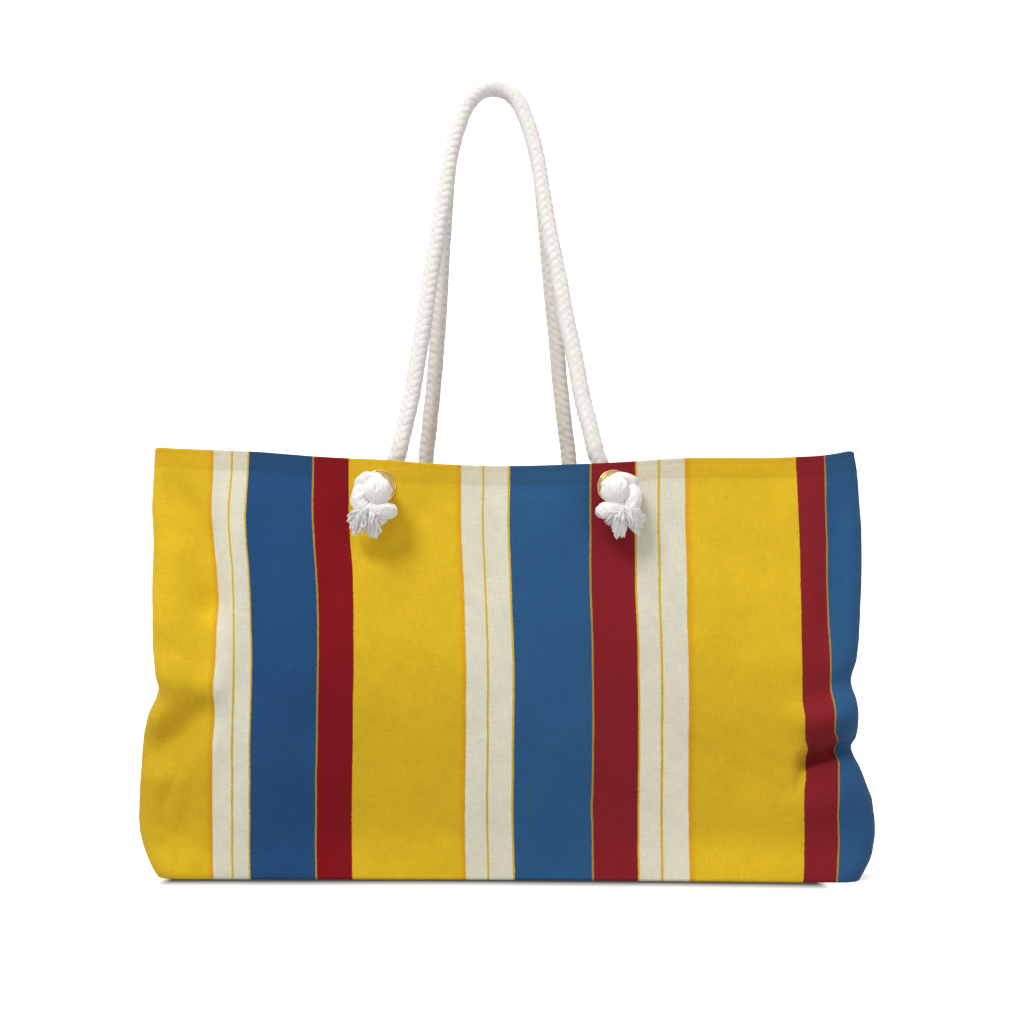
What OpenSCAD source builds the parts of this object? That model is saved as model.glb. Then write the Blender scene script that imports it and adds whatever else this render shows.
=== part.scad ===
// Weekender tote bag with rope handles.
// Millimetres, +Z up. The origin is on the ground, under the middle of the bag.
// The front of the bag faces -Y and its left side is at -X.

/* [Bag body] */
// Width across the rim, measured at the rim's corners
top_w = 550; // [500:5:570]
// Width across the base
bottom_w = 575; // [520:5:600]
// Height of the rim's corners above the ground
bag_h = 330; // [320:1:380]
// Depth from the front face to the back face
bag_d = 140; // [130:1:160]
// How much lower the rim is in its middle than at its corners
rim_sag = 10; // [4:1:14]
// Radius of the upright corners
corner_r = 22; // [14:1:30]

/* [Cloth] */
// Thickness of the printed canvas
canvas_t = 1.2; // [1:0.1:1.6]
// Thickness of the seam allowance that is turned in under the rim
hem_t = 1; // [0.9:0.1:1.4]
// Depth of that allowance, from the rim down
hem_drop = 16; // [10:1:20]
// Thickness of the lining
lining_t = 0.6; // [0.4:0.1:0.8]
// Thickness of the board that keeps the base flat
board_t = 2.5; // [1.5:0.1:3]

/* [Grommets] */
// Distance of each grommet from the middle of the bag
grommet_x = 90; // [84:1:96]
// Distance of the grommets below the rim's corners
grommet_drop = 28; // [27:1:32]
// Bore of a grommet
grommet_bore_d = 15; // [14.5:0.1:16]
// Outside diameter of a grommet's flange
flange_d = 26; // [24:0.5:28]

/* [Rope handles] */
// Diameter of the braided rope
rope_d = 13; // [11:0.5:13.5]
// Outside diameter of a knot
knot_d = 31; // [26:1:32]
// How far a knot stands out from its grommet
knot_l = 27; // [22:1:30]
// Diameter of a frayed end at its tips
tassel_d = 34; // [26:1:35]
// Length of a frayed end
tassel_l = 28; // [20:1:34]

/* [Pockets] */
// Width of the slip pocket on the front lining
slip_w = 230; // [160:5:300]
// Height of the slip pocket
slip_h = 140; // [100:5:170]
// How far the slip pocket stands off the lining
slip_gap = 6; // [5:0.5:10]
// Length of the zip on the back lining
zip_l = 200; // [160:5:260]
// Height of the zip above the ground
zip_z = 250; // [220:1:260]

/* [Hidden] */

FRONT = -1;
BACK = 1;
LEFT = -1;
RIGHT = 1;

// The cloth's layers, as distances in from the outer face
lining_in = canvas_t + hem_t;
inside_in = lining_in + lining_t;
lining_floor = canvas_t + board_t + 0.1;
inner_y = bag_d / 2 - inside_in;
fit_gap = 0.1;
slab = 0.01;

grommet_z = bag_h - grommet_drop;

// Large cylinder whose underside is the sagging line of the rim
rim_r = (pow(top_w / 2, 2) + pow(rim_sag, 2)) / (2 * rim_sag);
rim_low = bag_h - rim_sag;

// Grommet profile
barrel_t = 0.6;
flange_t = 1.8;
washer_t = 0.6;
punch_r = grommet_bore_d / 2 + barrel_t + fit_gap;
lip_r = punch_r + 2;

// Knots hang a little below and outside their grommets, against the flanges
knot_x = grommet_x + 5;
knot_z = grommet_z - 6;
knot_y = bag_d / 2 + flange_t + 0.2;
tassel_y = bag_d / 2 + 18.5;
tassel_top = knot_z - 8;

// Zip sizes
zip_slot_h = 11;
tape_h = 12;
tape_t = 0.45;
tooth_pitch = 4;
tooth_w = 2.2;
tooth_h = 2.6;
tooth_t = 1.6;
spine_h = 0.9;
slider_l = 12;
slider_w = 9;
slider_x = -zip_l / 2 + 12;
plate_t = 1;
plate_y = inner_y - tooth_t - 0.5;
pin_r = 0.8;
pin_y = plate_y - plate_t - 2;
eye_r = 1.7;
eye_w = 3.6;
pull_l = 24;
pull_w = 7;
pull_t = 1.2;

// Half of the front rope's centreline, from its knot to the top of the loop.
// The first run is held by the bag, the next one bends and the rest swings, after
// a slit that keeps the two apart.
// The figures are for the default bag, and placed() moves them to any other.
route_x = 90;
route_z = 302;
route_depth = 140;
front_route = [
    [90, -72, 302], [90, -67, 302], [89.4, -62.2, 302.6], [88, -58.4, 305],
    [86, -56, 309], [83.8, -55, 314], [81.6, -55, 319], [79.8, -55.6, 325],
    [78.2, -56, 330], [77.1, -56, 335.7], [77, -56, 336], [72.5, -52, 357], [68, -48, 375],
    [62, -42.5, 408], [56, -37, 441], [51, -32, 474], [45.5, -26.5, 508],
    [41, -21.5, 542], [36.5, -16.5, 576], [33, -13.5, 595], [28.5, -11, 612],
    [22, -8.8, 628], [12.5, -7.8, 637.5], [0, -7.5, 641]
];
// The same for the back rope, whose legs lean towards each other more
back_route = [
    [90, 72, 302], [90, 67, 302], [88.6, 62.2, 302.6], [85.6, 58.4, 305],
    [81.8, 56, 309], [77.6, 55, 314], [73.4, 55, 319.2], [69.4, 55.6, 325],
    [66.6, 56, 330], [64.7, 56, 335.7], [64.6, 56, 336], [61.5, 52, 360], [59, 48, 378],
    [54.5, 42.5, 416], [51, 37, 452], [48, 32, 486], [46, 26.5, 520],
    [43, 21.5, 552], [38, 16.5, 584], [34, 13.5, 603], [28.5, 11, 620],
    [21.5, 8.8, 633], [12, 7.8, 642], [0, 7.5, 645]
];
held_last = 7;
bend_last = 9;
swing_first = 10;
rope_sides = 12;

$fn = 48;

// ---- Vectors and the rope's skin ----

function unit(v) = v / norm(v);
function across(v, t) = unit(v - t * (v * t));
function flip_x(points) = [for (p = points) [-p[0], p[1], p[2]]];
function backwards(points) = [for (i = [len(points) - 1 : -1 : 0]) points[i]];
function without_first(points) = [for (i = [1 : len(points) - 1]) points[i]];

// Route points moved with the grommets and the depth of the bag
function placed(points) = [
    for (p = points)
        [p[0] * grommet_x / route_x, p[1] * bag_d / route_depth, p[2] - route_z + grommet_z]
];

// A whole centreline, from the right-hand knot over the top to the left-hand one
function whole_route(half) =
    placed(concat(half, without_first(backwards(flip_x(half)))));

// Direction of the centreline at point i. The ends that face each other across a slit
// take the same one, so that they stay parallel.
function before(i, last) =
    i == swing_first || i == last - bend_last ? i - 2 : max(i - 1, 0);
function after(i, last) =
    i == bend_last || i == last - swing_first ? i + 2 : min(i + 1, last);
function heading(points, i) =
    let (last = len(points) - 1)
    unit(points[after(i, last)] - points[before(i, last)]);

// One normal for each point, each turned as little as possible from the one before
function normals(points, i = 0, found = []) =
    i == len(points) ? found :
    normals(points, i + 1, concat(found, [
        across(i == 0 ? [1, 0, 0] : found[i - 1], heading(points, i))
    ]));

function ring(centre, t, n, r) = [
    for (k = [0 : rope_sides - 1])
        let (a = 360 * k / rope_sides)
        centre + r * (cos(a) * n + sin(a) * cross(t, n))
];

function rings(points, r) =
    let (n = normals(points))
    [for (i = [0 : len(points) - 1]) ring(points[i], heading(points, i), n[i], r)];

// Closed tube through the rings first to last
module rope_run(route, first, last) {
    all_rings = rings(route, rope_d / 2);
    count = last - first + 1;
    points = [for (i = [first : last]) each all_rings[i]];
    side = [
        for (i = [0 : count - 2], k = [0 : rope_sides - 1])
            let (k2 = (k + 1) % rope_sides, a = i * rope_sides, b = a + rope_sides)
            each [[a + k, b + k, b + k2], [a + k, b + k2, a + k2]]
    ];
    start_cap = [[for (k = [0 : rope_sides - 1]) k]];
    end_cap = [[for (k = [rope_sides - 1 : -1 : 0]) (count - 1) * rope_sides + k]];
    polyhedron(points, concat(side, start_cap, end_cap), convexity = 6);
}

// ---- Cloth shapes ----

module rounded_rect(w, d, r) {
    offset(r) square([w - 2 * r, d - 2 * r], center = true);
}

function width_at(z) = bottom_w + (top_w - bottom_w) * z / bag_h;

// Solid block inside the bag's outline, inset by the same amount all round
module block(inset, floor_z) {
    r = max(corner_r - inset, 4);
    hull() {
        translate([0, 0, floor_z])
            linear_extrude(slab)
                rounded_rect(width_at(floor_z) - 2 * inset, bag_d - 2 * inset, r);
        translate([0, 0, bag_h - slab])
            linear_extrude(slab)
                rounded_rect(top_w - 2 * inset, bag_d - 2 * inset, r);
    }
}

// Everything above the sagging rim
module above_rim() {
    translate([0, 0, rim_low + rim_r])
        rotate([90, 0, 0])
            cylinder(r = rim_r, h = bag_d + 20, center = true, $fn = 360);
}

// The half of space in front or behind
module half_space(side) {
    size = [bottom_w + 20, bag_d, bag_h + 40];
    translate([-size[0] / 2, side == BACK ? 0 : -bag_d, -10])
        cube(size);
}

module grommet_holes(side) {
    for (x = [-grommet_x, grommet_x])
        translate([x, side * bag_d / 2, grommet_z])
            rotate([90, 0, 0])
                cylinder(r = punch_r, h = 20, center = true);
}

// One half of an open tub of cloth, from the side seams to the bottom seam
module cloth_half(side, inset, thickness, floor_z) {
    difference() {
        intersection() {
            block(inset, floor_z);
            half_space(side);
        }
        block(inset + thickness, floor_z + thickness);
        above_rim();
        grommet_holes(side);
    }
}

module outer_panel(side) {
    color("goldenrod")
        cloth_half(side, 0, canvas_t, 0);
}

// Seam allowance folded in between canvas and lining
module hem(side) {
    color("darkgoldenrod")
        difference() {
            intersection() {
                block(canvas_t, bag_h / 2);
                half_space(side);
                translate([0, 0, -hem_drop])
                    above_rim();
            }
            block(lining_in, bag_h / 2 - 1);
            above_rim();
            grommet_holes(side);
        }
}

module front_lining() {
    color("oldlace")
        cloth_half(FRONT, lining_in, lining_t, lining_floor);
}

module back_lining() {
    color("oldlace")
        difference() {
            cloth_half(BACK, lining_in, lining_t, lining_floor);
            zip_window(zip_l, zip_slot_h, 20);
        }
}

module base_board() {
    color("dimgray")
        translate([0, 0, canvas_t])
            linear_extrude(board_t)
                rounded_rect(
                    width_at(canvas_t + board_t) - 2 * canvas_t - 4,
                    bag_d - 2 * canvas_t - 4,
                    corner_r - canvas_t - 2
                );
}

// Patch pocket, open at its top, sewn to the front lining on three sides
module slip_pocket() {
    z0 = 100;
    y0 = -inner_y;
    color("antiquewhite")
        difference() {
            translate([-slip_w / 2, y0, z0])
                cube([slip_w, slip_gap + lining_t, slip_h]);
            translate([-slip_w / 2 + lining_t, y0 - 1, z0 + lining_t])
                cube([slip_w - 2 * lining_t, slip_gap + 1, slip_h]);
        }
}

// ---- Zip pocket on the back lining ----

module zip_window(l, h, depth) {
    translate([0, inner_y, zip_z])
        cube([l, depth, h], center = true);
}

// Two layers of lining cloth, sewn together, hanging between lining and canvas
module zip_pocket_bag() {
    bag_t = hem_t - tape_t - 0.06;
    bag_z0 = 120;
    color("antiquewhite")
        translate([-zip_l / 2 - 14, inner_y + lining_t + tape_t + 0.03, bag_z0])
            cube([zip_l + 28, bag_t, zip_z + 16 - bag_z0]);
}

// Turned cloth frame round the zip
module zip_welt() {
    color("wheat")
        difference() {
            translate([0, inner_y - 0.25, zip_z])
                cube([zip_l + 14, 0.5, zip_slot_h + 12], center = true);
            zip_window(zip_l, zip_slot_h, 4);
        }
}

// side is 1 for the upper tape and -1 for the lower one
module zip_tape(side) {
    color("wheat")
        translate([-zip_l / 2 - 8, inner_y + lining_t, zip_z + (side > 0 ? 0.05 : -0.05 - tape_h)])
            cube([zip_l + 16, tape_t, tape_h]);
}

// Row of teeth on a spine. The lower row's teeth stand between the upper row's.
module zip_teeth(side) {
    shift = side > 0 ? 0 : tooth_pitch / 2;
    count = floor((zip_l - 12) / tooth_pitch);
    base_y = inner_y + lining_t;
    color("ivory") {
        translate([-zip_l / 2 + 4, base_y - tooth_t, zip_z + side * (tooth_h + spine_h) - spine_h / 2])
            cube([zip_l - 8, tooth_t, spine_h]);
        for (i = [0 : count - 1])
            translate([
                -zip_l / 2 + 5 + shift + i * tooth_pitch,
                base_y - tooth_t,
                side > 0 ? zip_z - 0.4 : zip_z - tooth_h - spine_h / 2 - 0.1
            ])
                cube([tooth_w - 0.4, tooth_t, tooth_h + spine_h / 2 + 0.5]);
    }
}

module zip_stops() {
    color("silver")
        for (x = [-zip_l / 2 + 0.5, zip_l / 2 - 4])
            translate([x, inner_y - 1.4, zip_z - 4.5])
                cube([3, 2, 9]);
}

// Plate over the teeth with a flange along each edge, and ears that hold the pull's pin
module zip_slider() {
    rail_t = 0.9;
    rail_drop = 1.7;
    ear_t = 0.9;
    ear_z = eye_w / 2 + 0.2;
    color("silver") {
        translate([slider_x, plate_y - plate_t / 2, zip_z])
            cube([slider_l, plate_t, slider_w], center = true);
        for (s = [-1, 1]) {
            translate([slider_x, plate_y - plate_t + rail_drop / 2, zip_z + s * (slider_w - rail_t) / 2])
                cube([slider_l, rail_drop, rail_t], center = true);
            translate([slider_x, (pin_y - 1.4 + plate_y) / 2, zip_z + s * (ear_z + ear_t / 2)])
                cube([4.4, plate_y - pin_y + 1.4, ear_t], center = true);
        }
        translate([slider_x, pin_y, zip_z])
            cylinder(r = pin_r, h = 2 * ear_z + ear_t, center = true, $fn = 24);
    }
}

// Pull tab with its eye round the slider's pin
module zip_pull() {
    color("silver")
        difference() {
            union() {
                translate([slider_x, pin_y, zip_z])
                    cylinder(r = eye_r, h = eye_w, center = true, $fn = 32);
                translate([slider_x, pin_y - pull_t / 2, zip_z - pull_w / 4])
                    cube([6, pull_t, pull_w / 2]);
                translate([slider_x + 5, pin_y - pull_t / 2, zip_z - pull_w / 2])
                    cube([pull_l - 5, pull_t, pull_w]);
            }
            translate([slider_x, pin_y, zip_z])
                cylinder(r = pin_r + 0.08, h = eye_w + 2, center = true, $fn = 24);
            translate([slider_x + pull_l - 5, pin_y, zip_z])
                rotate([90, 0, 0])
                    cylinder(r = 2, h = pull_t + 2, center = true, $fn = 24);
        }
}

// ---- Grommets ----

// Puts a shape made along +Z, with the canvas face at 0, on a grommet's axis
module at_grommet(side, hand) {
    translate([hand * grommet_x, side * bag_d / 2, grommet_z])
        rotate([side * -90, 0, 0])
            children();
}

// Flange and barrel are one turned piece, whose end is rolled over the washer
module grommet(side, hand) {
    bore_r = grommet_bore_d / 2;
    out_r = flange_d / 2;
    back = -(inside_in + washer_t);
    color("gold")
        at_grommet(side, hand)
            rotate_extrude($fn = 64)
                difference() {
                    union() {
                        translate([bore_r, back - 0.7])
                            square([barrel_t, -back + 0.7 + flange_t / 2]);
                        translate([bore_r, back - 0.7])
                            square([lip_r - bore_r, 0.6]);
                        translate([bore_r, 0])
                            square([out_r - bore_r, flange_t / 3]);
                        translate([(bore_r + out_r) / 2, 0])
                            intersection() {
                                scale([(out_r - bore_r) / 2 / flange_t, 1])
                                    circle(flange_t);
                                translate([-out_r, 0])
                                    square([2 * out_r, flange_t]);
                            }
                    }
                    translate([-1, back - 5])
                        square([bore_r + 1, 20]);
                }
}

module washer(side, hand) {
    color("gold")
        at_grommet(side, hand)
            translate([0, 0, -inside_in - washer_t])
                difference() {
                    cylinder(r = flange_d / 2 - 0.5, h = washer_t);
                    translate([0, 0, -1])
                        cylinder(r = punch_r, h = washer_t + 2);
                }
}

// ---- Rope handles ----

module rope_ends(route) {
    last = len(route) - 1;
    color("linen") {
        rope_run(route, 0, held_last);
        rope_run(route, last - held_last, last);
    }
}

module rope_bends(route) {
    last = len(route) - 1;
    color("linen") {
        rope_run(route, held_last, bend_last);
        rope_run(route, last - bend_last, last - held_last);
    }
}

module rope_loop(route) {
    color("linen")
        rope_run(route, swing_first, len(route) - 1 - swing_first);
}

// Stopper knot, a barrel with rounded ends lying against the grommet
module knot(side, hand) {
    round_r = 9;
    r = knot_d / 2;
    color("seashell")
        translate([hand * knot_x, side * knot_y, knot_z])
            rotate([side * -90, 0, 0])
                rotate_extrude($fn = 48)
                    intersection() {
                        union() {
                            square([r - round_r, knot_l]);
                            translate([0, round_r])
                                square([r, knot_l - 2 * round_r]);
                            for (z = [round_r, knot_l - round_r])
                                translate([r - round_r, z])
                                    circle(round_r);
                        }
                        square([r, knot_l]);
                    }
}

// Frayed end of the rope, fanning out under its knot
module tassel(side, hand) {
    top_r = 6;
    color("seashell")
        difference() {
            translate([hand * knot_x, side * tassel_y, tassel_top - tassel_l])
                cylinder(r1 = tassel_d / 2 - 1, r2 = top_r, h = tassel_l + 4);
            translate([hand * knot_x, side * (knot_y + knot_l / 2), knot_z])
                rotate([90, 0, 0])
                    cylinder(r = knot_d / 2 + fit_gap, h = 60, center = true, $fn = 96);
        }
}

// ---- The parts ----

outer_panel(FRONT);  // front_panel
outer_panel(BACK);  // back_panel
hem(FRONT);  // front_hem
hem(BACK);  // back_hem
front_lining();
back_lining();
base_board();
slip_pocket();
zip_pocket_bag();
zip_welt();
zip_tape(1);  // zip_tape_upper
zip_tape(-1);  // zip_tape_lower
zip_teeth(1);  // zip_teeth_upper
zip_teeth(-1);  // zip_teeth_lower
zip_stops();
zip_slider();
zip_pull();
grommet(FRONT, LEFT);  // front_left_grommet
grommet(FRONT, RIGHT);  // front_right_grommet
grommet(BACK, LEFT);  // back_left_grommet
grommet(BACK, RIGHT);  // back_right_grommet
washer(FRONT, LEFT);  // front_left_washer
washer(FRONT, RIGHT);  // front_right_washer
washer(BACK, LEFT);  // back_left_washer
washer(BACK, RIGHT);  // back_right_washer
rope_ends(whole_route(front_route));  // front_rope_ends
rope_bends(whole_route(front_route));  // front_rope_bends
rope_loop(whole_route(front_route));  // front_rope_loop
rope_ends(whole_route(back_route));  // back_rope_ends
rope_bends(whole_route(back_route));  // back_rope_bends
rope_loop(whole_route(back_route));  // back_rope_loop
knot(FRONT, LEFT);  // front_left_knot
knot(FRONT, RIGHT);  // front_right_knot
knot(BACK, LEFT);  // back_left_knot
knot(BACK, RIGHT);  // back_right_knot
tassel(FRONT, LEFT);  // front_left_tassel
tassel(FRONT, RIGHT);  // front_right_tassel
tassel(BACK, LEFT);  // back_left_tassel
tassel(BACK, RIGHT);  // back_right_tassel
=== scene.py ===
import math

import bpy
import numpy as np
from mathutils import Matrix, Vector


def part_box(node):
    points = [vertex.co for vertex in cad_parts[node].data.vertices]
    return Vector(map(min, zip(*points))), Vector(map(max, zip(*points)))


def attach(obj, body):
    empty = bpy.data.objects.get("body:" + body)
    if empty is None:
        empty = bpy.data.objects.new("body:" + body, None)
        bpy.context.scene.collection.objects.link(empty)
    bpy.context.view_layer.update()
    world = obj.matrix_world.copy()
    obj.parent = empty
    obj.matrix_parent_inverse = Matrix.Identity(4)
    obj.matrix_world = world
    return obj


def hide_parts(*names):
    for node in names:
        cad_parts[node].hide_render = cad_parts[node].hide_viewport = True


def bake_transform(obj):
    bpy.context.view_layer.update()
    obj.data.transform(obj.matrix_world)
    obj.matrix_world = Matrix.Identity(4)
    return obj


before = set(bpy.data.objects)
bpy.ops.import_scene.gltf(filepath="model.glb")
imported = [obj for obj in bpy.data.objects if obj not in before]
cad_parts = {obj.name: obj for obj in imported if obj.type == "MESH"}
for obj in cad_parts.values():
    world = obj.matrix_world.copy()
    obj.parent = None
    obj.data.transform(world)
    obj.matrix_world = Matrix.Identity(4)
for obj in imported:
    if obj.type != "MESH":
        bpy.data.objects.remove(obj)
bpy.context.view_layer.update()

MM = 0.001
FRONT = -1
BACK = 1
LEFT = -1
RIGHT = 1
# How much further forward the base stands at the right, from where on and up to what height
TOE = 16.5
TOE_START = -60
TOE_RUN = 330
TOE_TOP = 150
TOE_POWER = 1.5
TOE_AT_CORNER = 0.96

# ---------------------------------------------------------------- camera, stage and lights

CAMERA_X = 0.0119
CAMERA_HEIGHT = 0.150
CAMERA_TO_FRONT = 0.850
front_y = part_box("front_panel")[0][1]

camera = bpy.data.objects.new("camera", bpy.data.cameras.new("camera"))
camera.location = (CAMERA_X, front_y - CAMERA_TO_FRONT, CAMERA_HEIGHT)
camera.rotation_euler = (math.radians(90), 0, 0)
camera.data.sensor_width = 36
camera.data.lens = 38.9
camera.data.shift_y = 0.1687
camera.data.clip_start = 0.01
bpy.context.collection.objects.link(camera)
bpy.context.scene.camera = camera


class Graph:
    """Shader nodes of one tree. Each method adds a node and gives its output."""

    def __init__(self, tree):
        self.tree = tree

    def feed(self, node, inputs):
        """Links outputs to inputs of the node, and sets constants on the others."""
        for key, value in inputs.items():
            if isinstance(value, bpy.types.NodeSocket):
                self.tree.links.new(value, node.inputs[key])
            else:
                node.inputs[key].default_value = value

    def add(self, kind, inputs=None, out=0, **props):
        node = self.tree.nodes.new("ShaderNode" + kind)
        for key, value in props.items():
            setattr(node, key, value)
        self.feed(node, inputs or {})
        return node.outputs[out]

    def maths(self, operation, a, b=0.0, c=0.0, clamp=False):
        return self.add("Math", {0: a, 1: b, 2: c}, operation=operation, use_clamp=clamp)

    def plus(self, a, b):
        return self.maths("ADD", a, b)

    def minus(self, a, b):
        return self.maths("SUBTRACT", a, b)

    def times(self, a, b):
        return self.maths("MULTIPLY", a, b)

    def scaled(self, a, gain, offset, clamp=False):
        return self.maths("MULTIPLY_ADD", a, gain, offset, clamp)

    def ramp(self, value, start, end, low=0.0, high=1.0, **props):
        """low up to start, high from end, and a slope between."""
        inputs = {"Value": value, "From Min": start, "From Max": end, "To Min": low, "To Max": high}
        return self.add("MapRange", inputs, **props)

    def place(self):
        return self.add("TexCoord", out="Object")

    def attribute(self, name):
        return self.add("Attribute", out="Fac", attribute_name=name)

    def noise(self, place, scale, detail=2.0):
        return self.add("TexNoise", {"Vector": place, "Scale": scale, "Detail": detail})

    def bump(self, strength, distance, height):
        return self.add("Bump", {"Strength": strength, "Distance": distance, "Height": height})

    def mix(self, factor, a, b, blend="MIX"):
        inputs = {0: factor, 6: a, 7: b}
        return self.add("Mix", inputs, 2, data_type="RGBA", blend_type=blend)

    def grey(self, tone):
        return self.add("CombineColor", {0: tone, 1: tone, 2: tone})

    def toned(self, colour, tone):
        return self.mix(1.0, colour, self.grey(tone), "MULTIPLY")


def principled(name):
    """New material, its nodes and its Principled shader."""
    mat = bpy.data.materials.new(name)
    mat.use_nodes = True
    return mat, Graph(mat.node_tree), mat.node_tree.nodes["Principled BSDF"]


def srgb(red, green, blue):
    """Linear colour, with alpha 1, from 8-bit sRGB values."""
    out = []
    for value in (red, green, blue):
        c = value / 255
        out.append(c / 12.92 if c <= 0.04045 else ((c + 0.055) / 1.055) ** 2.4)
    return (*out, 1.0)


def mesh_object(name, verts, faces, material=None, attributes=None, smooth=True):
    """Mesh object from vertices in millimetres and a list of faces."""
    mesh = bpy.data.meshes.new(name)
    verts = np.asarray(verts, float).reshape(-1, 3) * MM
    if isinstance(faces, np.ndarray):
        count, corners = faces.shape
        mesh.vertices.add(len(verts))
        mesh.vertices.foreach_set("co", verts.ravel())
        mesh.loops.add(count * corners)
        mesh.loops.foreach_set("vertex_index", faces.astype(np.int32).ravel())
        mesh.polygons.add(count)
        mesh.polygons.foreach_set("loop_start", np.arange(count, dtype=np.int32) * corners)
        mesh.update(calc_edges=True)
    else:
        mesh.from_pydata(verts.tolist(), [], faces)
    mesh.validate()
    for key, values in (attributes or {}).items():
        layer = mesh.attributes.new(key, "FLOAT", "POINT")
        layer.data.foreach_set("value", np.asarray(values, np.float32).ravel())
    if smooth:
        mesh.shade_smooth()
    obj = bpy.data.objects.new(name, mesh)
    bpy.context.collection.objects.link(obj)
    if material is not None:
        mesh.materials.append(material)
    return obj


def grid_faces(rows, columns, closed=False, flip=False):
    """Quads of a grid of points stored row by row. closed joins the last column to the first."""
    r, c = np.meshgrid(
        np.arange(rows - 1), np.arange(columns if closed else columns - 1), indexing="ij"
    )
    c2 = (c + 1) % columns
    a, b = r * columns + c, r * columns + c2
    d, e = (r + 1) * columns + c, (r + 1) * columns + c2
    quads = np.stack([a, d, e, b] if flip else [a, b, e, d], axis=-1)
    return quads.reshape(-1, 4)


def thicken(obj, thickness):
    """obj with a thickness, in millimetres, behind its drawn face."""
    mod = obj.modifiers.new("Solidify", "SOLIDIFY")
    mod.thickness = thickness * MM
    mod.offset = -1
    return obj


def place(obj, nodes, slot, body="bag"):
    """obj stands for these CAD nodes and rides on body."""
    if body:
        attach(obj, body)
    if nodes:
        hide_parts(*nodes)
    return obj


# How much of the white surroundings shows in shiny parts
SHINE_SEEN = 0.5
# Floor that curves up into a pale backdrop, in millimetres
FLOOR_HALF = 30000
FLOOR_BACK = 2600
SWEEP_R = 1500
SWEEP_TOP = 9000
# The floor's glow rises with the distance from the bag, in metres
GLOW_NEAR, GLOW_FAR = 0.40, 1.2
GLOW_LEAST = 0.58
# Painted shadow: the floor is darkened close in front of the base and behind it, where little light
# reaches
FOOT_MIDDLE_X, FOOT_HALF_X, FOOT_HALF_Y = -0.004, 0.244, 0.0665
FOOT_SHADE_START, FOOT_SHADE_REACH = 0.007, 0.039
FOOT_SHADE_NARROW = 3.0
FOOT_SHADE_DARK = 0.05
# Tone of the floor as it is seen, and as it lights the bag
FLOOR_TONE = 0.92
FLOOR_BOUNCE = 0.42
# Share of the glow that lights the bag. It is low, so that folds keep their shade
GLOW_BOUNCE = 0.25
WORLD_SEEN = 1.0
WORLD_LIGHT = 0.28
PLAIN_WHITE = (1, 1, 1, 1)


def seen_share(g):
    """1 for what is seen straight on, SHINE_SEEN in shiny parts, and 0 as light on the bag."""
    ray = g.add("LightPath").node.outputs
    return g.maths("MAXIMUM", ray["Is Camera Ray"], g.times(ray["Is Glossy Ray"], SHINE_SEEN))


def floor_material():
    mat, g, shader = principled("pale_floor")
    place_on = g.place()
    x, y = g.add("SeparateXYZ", {0: place_on}).node.outputs[:2]
    toe = g.scaled(x, 1 / (TOE_RUN * MM), -TOE_START / TOE_RUN, clamp=True)
    toe = g.times(g.maths("POWER", toe, TOE_POWER), TOE * MM)
    toe = g.times(toe, g.maths("LESS_THAN", y, 0.0))
    off_x = g.minus(g.maths("ABSOLUTE", g.minus(x, FOOT_MIDDLE_X)), FOOT_HALF_X)
    off_x = g.times(g.maths("MAXIMUM", off_x, 0.0), FOOT_SHADE_NARROW)
    off_y = g.minus(g.minus(g.maths("ABSOLUTE", y), FOOT_HALF_Y), toe)
    off_y = g.maths("MAXIMUM", off_y, 0.0)
    beyond = g.plus(g.maths("POWER", off_x, 2.0), g.maths("POWER", off_y, 2.0))
    # Painted shadow round the base, on the floor as it is seen, and not in the light the floor throws
    beside = g.ramp(
        g.maths("SQRT", beyond), FOOT_SHADE_START, FOOT_SHADE_REACH, FOOT_SHADE_DARK, 1.0
    )
    seen = seen_share(g)
    beside = g.scaled(seen, g.minus(beside, 1.0), 1.0)
    away = g.add("VectorMath", {0: place_on}, "Value", operation="LENGTH")
    glow = g.times(g.ramp(away, GLOW_NEAR, GLOW_FAR, GLOW_LEAST, 1.0), beside)
    tone = g.times(beside, g.scaled(seen, FLOOR_TONE - FLOOR_BOUNCE, FLOOR_BOUNCE))
    g.feed(shader, {
        "Base Color": g.grey(tone),
        "Roughness": 0.9,
        "Specular IOR Level": 0.1,
        "Emission Color": PLAIN_WHITE,
        "Emission Strength": g.times(glow, g.scaled(seen, 1 - GLOW_BOUNCE, GLOW_BOUNCE)),
    })
    return mat


sweep = [(-FLOOR_HALF, 0.0), (FLOOR_BACK, 0.0)]
sweep += [
    (FLOOR_BACK + SWEEP_R * math.sin(a), SWEEP_R - SWEEP_R * math.cos(a))
    for a in np.linspace(0, math.pi / 2, 24)[1:]
]
sweep.append((FLOOR_BACK + SWEEP_R, SWEEP_TOP))
floor_points = [(x, y, z) for y, z in sweep for x in (-FLOOR_HALF, FLOOR_HALF)]
mesh_object("floor", floor_points, grid_faces(len(sweep), 2), floor_material())

world = bpy.data.worlds.new("world")
world.use_nodes = True
world_graph = Graph(world.node_tree)
world_strength = world_graph.scaled(
    seen_share(world_graph), WORLD_SEEN - WORLD_LIGHT, WORLD_LIGHT
)
world_graph.feed(
    world.node_tree.nodes["Background"], {"Color": PLAIN_WHITE, "Strength": world_strength}
)
bpy.context.scene.world = world
bpy.context.scene.view_settings.view_transform = "Standard"


def area_light(name, location, target, size, power, colour=(1, 1, 1)):
    data = bpy.data.lights.new(name, "AREA")
    data.shape = "DISK"
    data.size = size
    data.energy = power
    data.color = colour
    light = bpy.data.objects.new(name, data)
    light.location = location
    light.rotation_euler = (Vector(target) - Vector(location)).to_track_quat("-Z", "Y").to_euler()
    bpy.context.collection.objects.link(light)


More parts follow.
